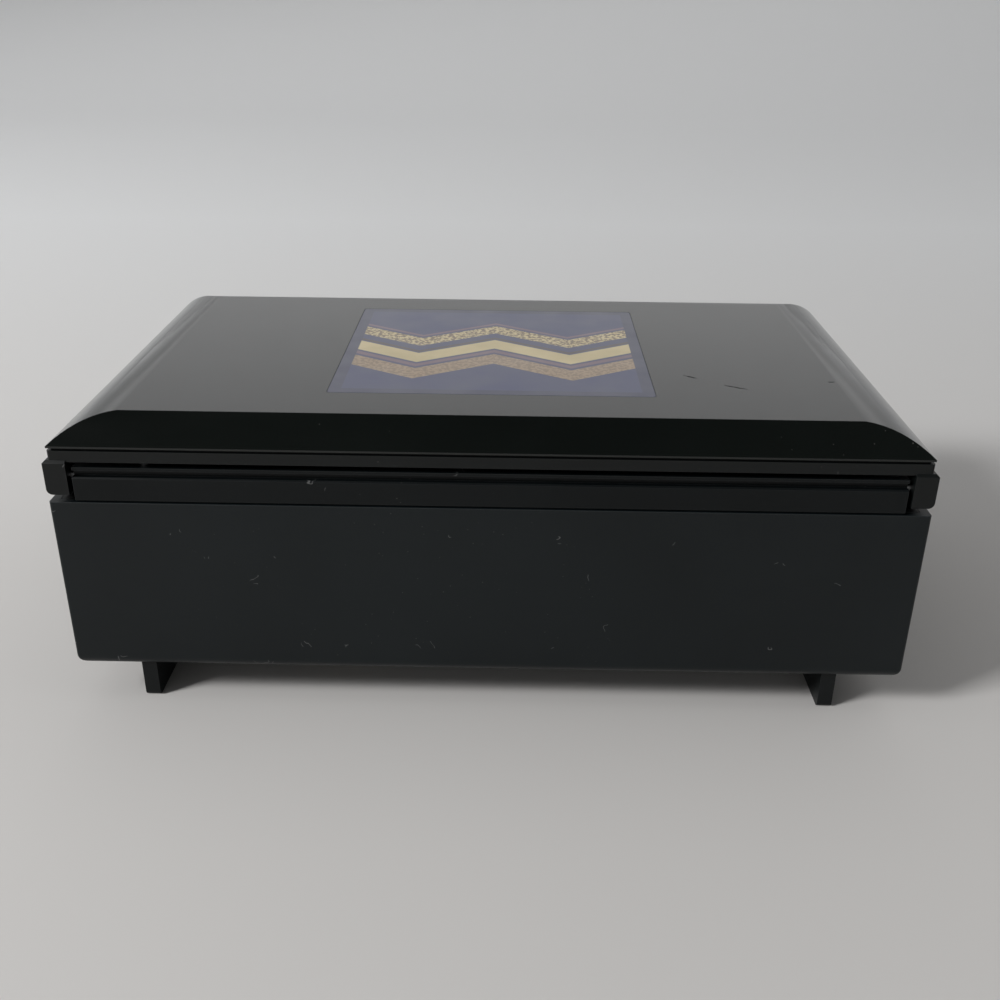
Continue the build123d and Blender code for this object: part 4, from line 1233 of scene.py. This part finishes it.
@dataclass
class Studio:
    """Pale seamless floor and backdrop, painted lighter behind the box as painted light, soft lights, and the
    camera that looks down on the hinge side.

    The lamps are a key left of the camera, and a wide panel beyond the box that the lid top mirrors. A shade
    pair is where the dark part of the room starts and ends, in the parts of a direction.
    """

    camera_place: Triple = (-0.00613, 0.33237, 0.18757)
    pitch: float = 0.44473
    yaw: float = -0.01232
    roll: float = 0.0108
    lens: float = 39.64
    clip_start: float = 0.01
    floor_colour: Colour = (0.635, 0.62, 0.605)
    # Painted light: a lighter paper colour behind the box that stands in for brighter light on the far floor
    # and wall, and where it fades in along Y.
    painted_back_light_colour: Colour = (0.83, 0.835, 0.84)
    painted_back_light_band: Pair = (0.0, -0.6)
    fibre_scale: float = 6.0
    fibre_tone: float = 1.03
    paper_roughness: float = 0.9
    floor_reach: float = 3.0
    half_width: float = 9.0
    curve_start: float = -1.3
    curve_radius: float = 0.9
    curve_steps: int = 17
    sky: float = 0.48
    dark_sky: float = 0.05
    high_shade_y: Pair = (0.1, 0.4)
    high_shade_z: Pair = (0.42, 0.62)
    right_shade_y: Pair = (0.0, 0.5)
    right_shade_x: Pair = (-0.15, -0.6)
    lamps: tuple[Lamp, ...] = (
        Lamp("key", (1.4, 0.78, 1.1), (0.45, 0.45), 27.5),
        Lamp("beyond", (0.3, -1.6, 0.78), (4.6, 0.9), 4.5),
    )

    def build(self) -> None:
        """Builds backdrop, lights, world and camera."""
        self.backdrop()
        for lamp in self.lamps:
            lamp.build()
        self.world()
        self.camera()
        bpy.context.scene.view_settings.view_transform = "Standard"

    def backdrop(self) -> None:
        """Floor that turns up into a wall: a straight run, a quarter circle and a rise, carried across X. Its
        paper is painted lighter behind the box, as painted light on the far floor and wall.
        """
        angles = np.linspace(0.0, math.pi / 2, self.curve_steps)
        y = self.curve_start - self.curve_radius * np.sin(angles)
        z = self.curve_radius * (1 - np.cos(angles))
        y = np.concatenate([[self.floor_reach], y, [y[-1]]])
        z = np.concatenate([[0.0], z, [self.floor_reach]])
        x = np.array([-self.half_width, self.half_width])
        grid = np.stack([np.repeat(x, len(y)), np.tile(y, 2), np.tile(z, 2)], 1)
        rows = len(y)
        faces = [(i, i + rows, i + rows + 1, i + 1) for i in range(rows - 1)]
        mesh = bpy.data.meshes.new("backdrop")
        mesh.from_pydata(grid.tolist(), [], faces)
        mesh.shade_smooth()
        piece = linked("backdrop", mesh)
        graph = Graph("backdrop_paper")
        fibre = graph.texture(Texture.NOISE, self.fibre_scale, detail=4.0)
        paper = graph.mix(fibre, self.floor_colour, toned(self.floor_colour, self.fibre_tone))
        _, along, _ = graph.split()
        # Painted light: the paper turns lighter behind the box, standing in for brighter light on the far
        # floor and wall.
        colour = graph.mix(graph.band(along, *self.painted_back_light_band), paper, self.painted_back_light_colour)
        graph.set(base_color=colour, roughness=self.paper_roughness)
        mesh.materials.append(graph.material)

    def world(self) -> None:
        """Even light, darker high up behind the camera and to its right, as the lid's rear slope mirrors."""
        world = bpy.data.worlds.new("room")
        bpy.context.scene.world = world
        world.use_nodes = True
        tree = world.node_tree
        background = tree.nodes["Background"]
        place = tree.nodes.new("ShaderNodeTexCoord")
        parts = tree.nodes.new("ShaderNodeSeparateXYZ")
        tree.links.new(place.outputs["Generated"], parts.inputs[0])

        def ramp(axis: str, low: float, high: float) -> Socket:
            """Rises from 0 to 1 between two values of a direction's part.

            Args:
                axis: the part.
                low: value that gives 0.
                high: value that gives 1.

            Returns:
                The risen value.
            """
            node = tree.nodes.new("ShaderNodeMapRange")
            tree.links.new(parts.outputs[axis], node.inputs["Value"])
            node.inputs["From Min"].default_value = low
            node.inputs["From Max"].default_value = high
            return node.outputs["Result"]

        def combine(operation: str, first: Socket, second: Socket) -> Socket:
            """Joins two values.

            Args:
                operation: the node's operation.
                first: first value.
                second: second value.

            Returns:
                The result.
            """
            node = tree.nodes.new("ShaderNodeMath")
            node.operation = operation
            tree.links.new(first, node.inputs[0])
            tree.links.new(second, node.inputs[1])
            return node.outputs[0]

        high_up = combine("MULTIPLY", ramp("Y", *self.high_shade_y), ramp("Z", *self.high_shade_z))
        to_right = combine("MULTIPLY", ramp("Y", *self.right_shade_y), ramp("X", *self.right_shade_x))
        shade = combine("MAXIMUM", high_up, to_right)
        strength = tree.nodes.new("ShaderNodeMapRange")
        tree.links.new(shade, strength.inputs["Value"])
        strength.inputs["To Min"].default_value = self.sky
        strength.inputs["To Max"].default_value = self.dark_sky
        tree.links.new(strength.outputs["Result"], background.inputs["Strength"])
        background.inputs["Color"].default_value = (1.0, 1.0, 1.0, 1.0)

    def camera(self) -> None:
        """Camera turned by pitch, yaw and roll; its axes are worked out in plain trigonometry."""
        cos_p, sin_p = math.cos(self.pitch), math.sin(self.pitch)
        cos_y, sin_y = math.cos(self.yaw), math.sin(self.yaw)
        ahead = Vector((-sin_y * cos_p, -cos_y * cos_p, -sin_p))
        right = Vector((-cos_y, sin_y, 0.0))
        up = right.cross(ahead)
        cos_r, sin_r = math.cos(self.roll), math.sin(self.roll)
        side = right * cos_r + up * sin_r
        top = up * cos_r - right * sin_r
        turn = Matrix((side, top, -ahead)).transposed().to_4x4()
        data = bpy.data.cameras.new("photo_camera")
        data.lens = self.lens
        data.clip_start = self.clip_start
        camera = linked("photo_camera", data)
        camera.matrix_world = Matrix.Translation(self.camera_place) @ turn
        bpy.context.scene.camera = camera


SOFTENED = (
    Softened("lower_case", Body.CASE, "case_plastic", 0.00045, 3),
    Softened("upper_frame", Body.CASE, "frame_plastic", 0.0002),
    Softened("lid_frame", Body.LID, "lid_plastic", 0.0002),
    Softened("lid_cover", Body.LID, "lid_plastic", 0.0003),
    Softened("left_foot", Body.CASE, "foot_plastic"),
    Softened("right_foot", Body.CASE, "foot_plastic"),
    Softened("drawer_front", Body.DRAWER, "case_plastic"),
)
SCREW_SETS = (
    ScrewSet("foot_screws", Body.CASE),
    ScrewSet("movement_screws", Body.CASE),
    ScrewSet("comb_screws", Body.CASE),
    ScrewSet("lid_screws", Body.LID),
    ScrewSet("drawer_screws", Body.DRAWER),
)


def main() -> None:
    """Builds the studio, dresses the nodes, and builds the pieces that stand for some of them."""
    Studio().build()
    dresser = Dresser(node_finishes())
    dresser.dress_nodes()
    for softened in SOFTENED:
        dresser.dress(softened.build(), softened.node)
    for index in range(RingRoll.count):
        dresser.dress(RingRoll(index).build(), "ring_rolls")
    for screws in SCREW_SETS:
        for piece in screws.build():
            dresser.dress(piece, screws.node)
    dresser.dress(TurnedKnob().build(), "drawer_knob")


if __name__ == "__main__":
    main()
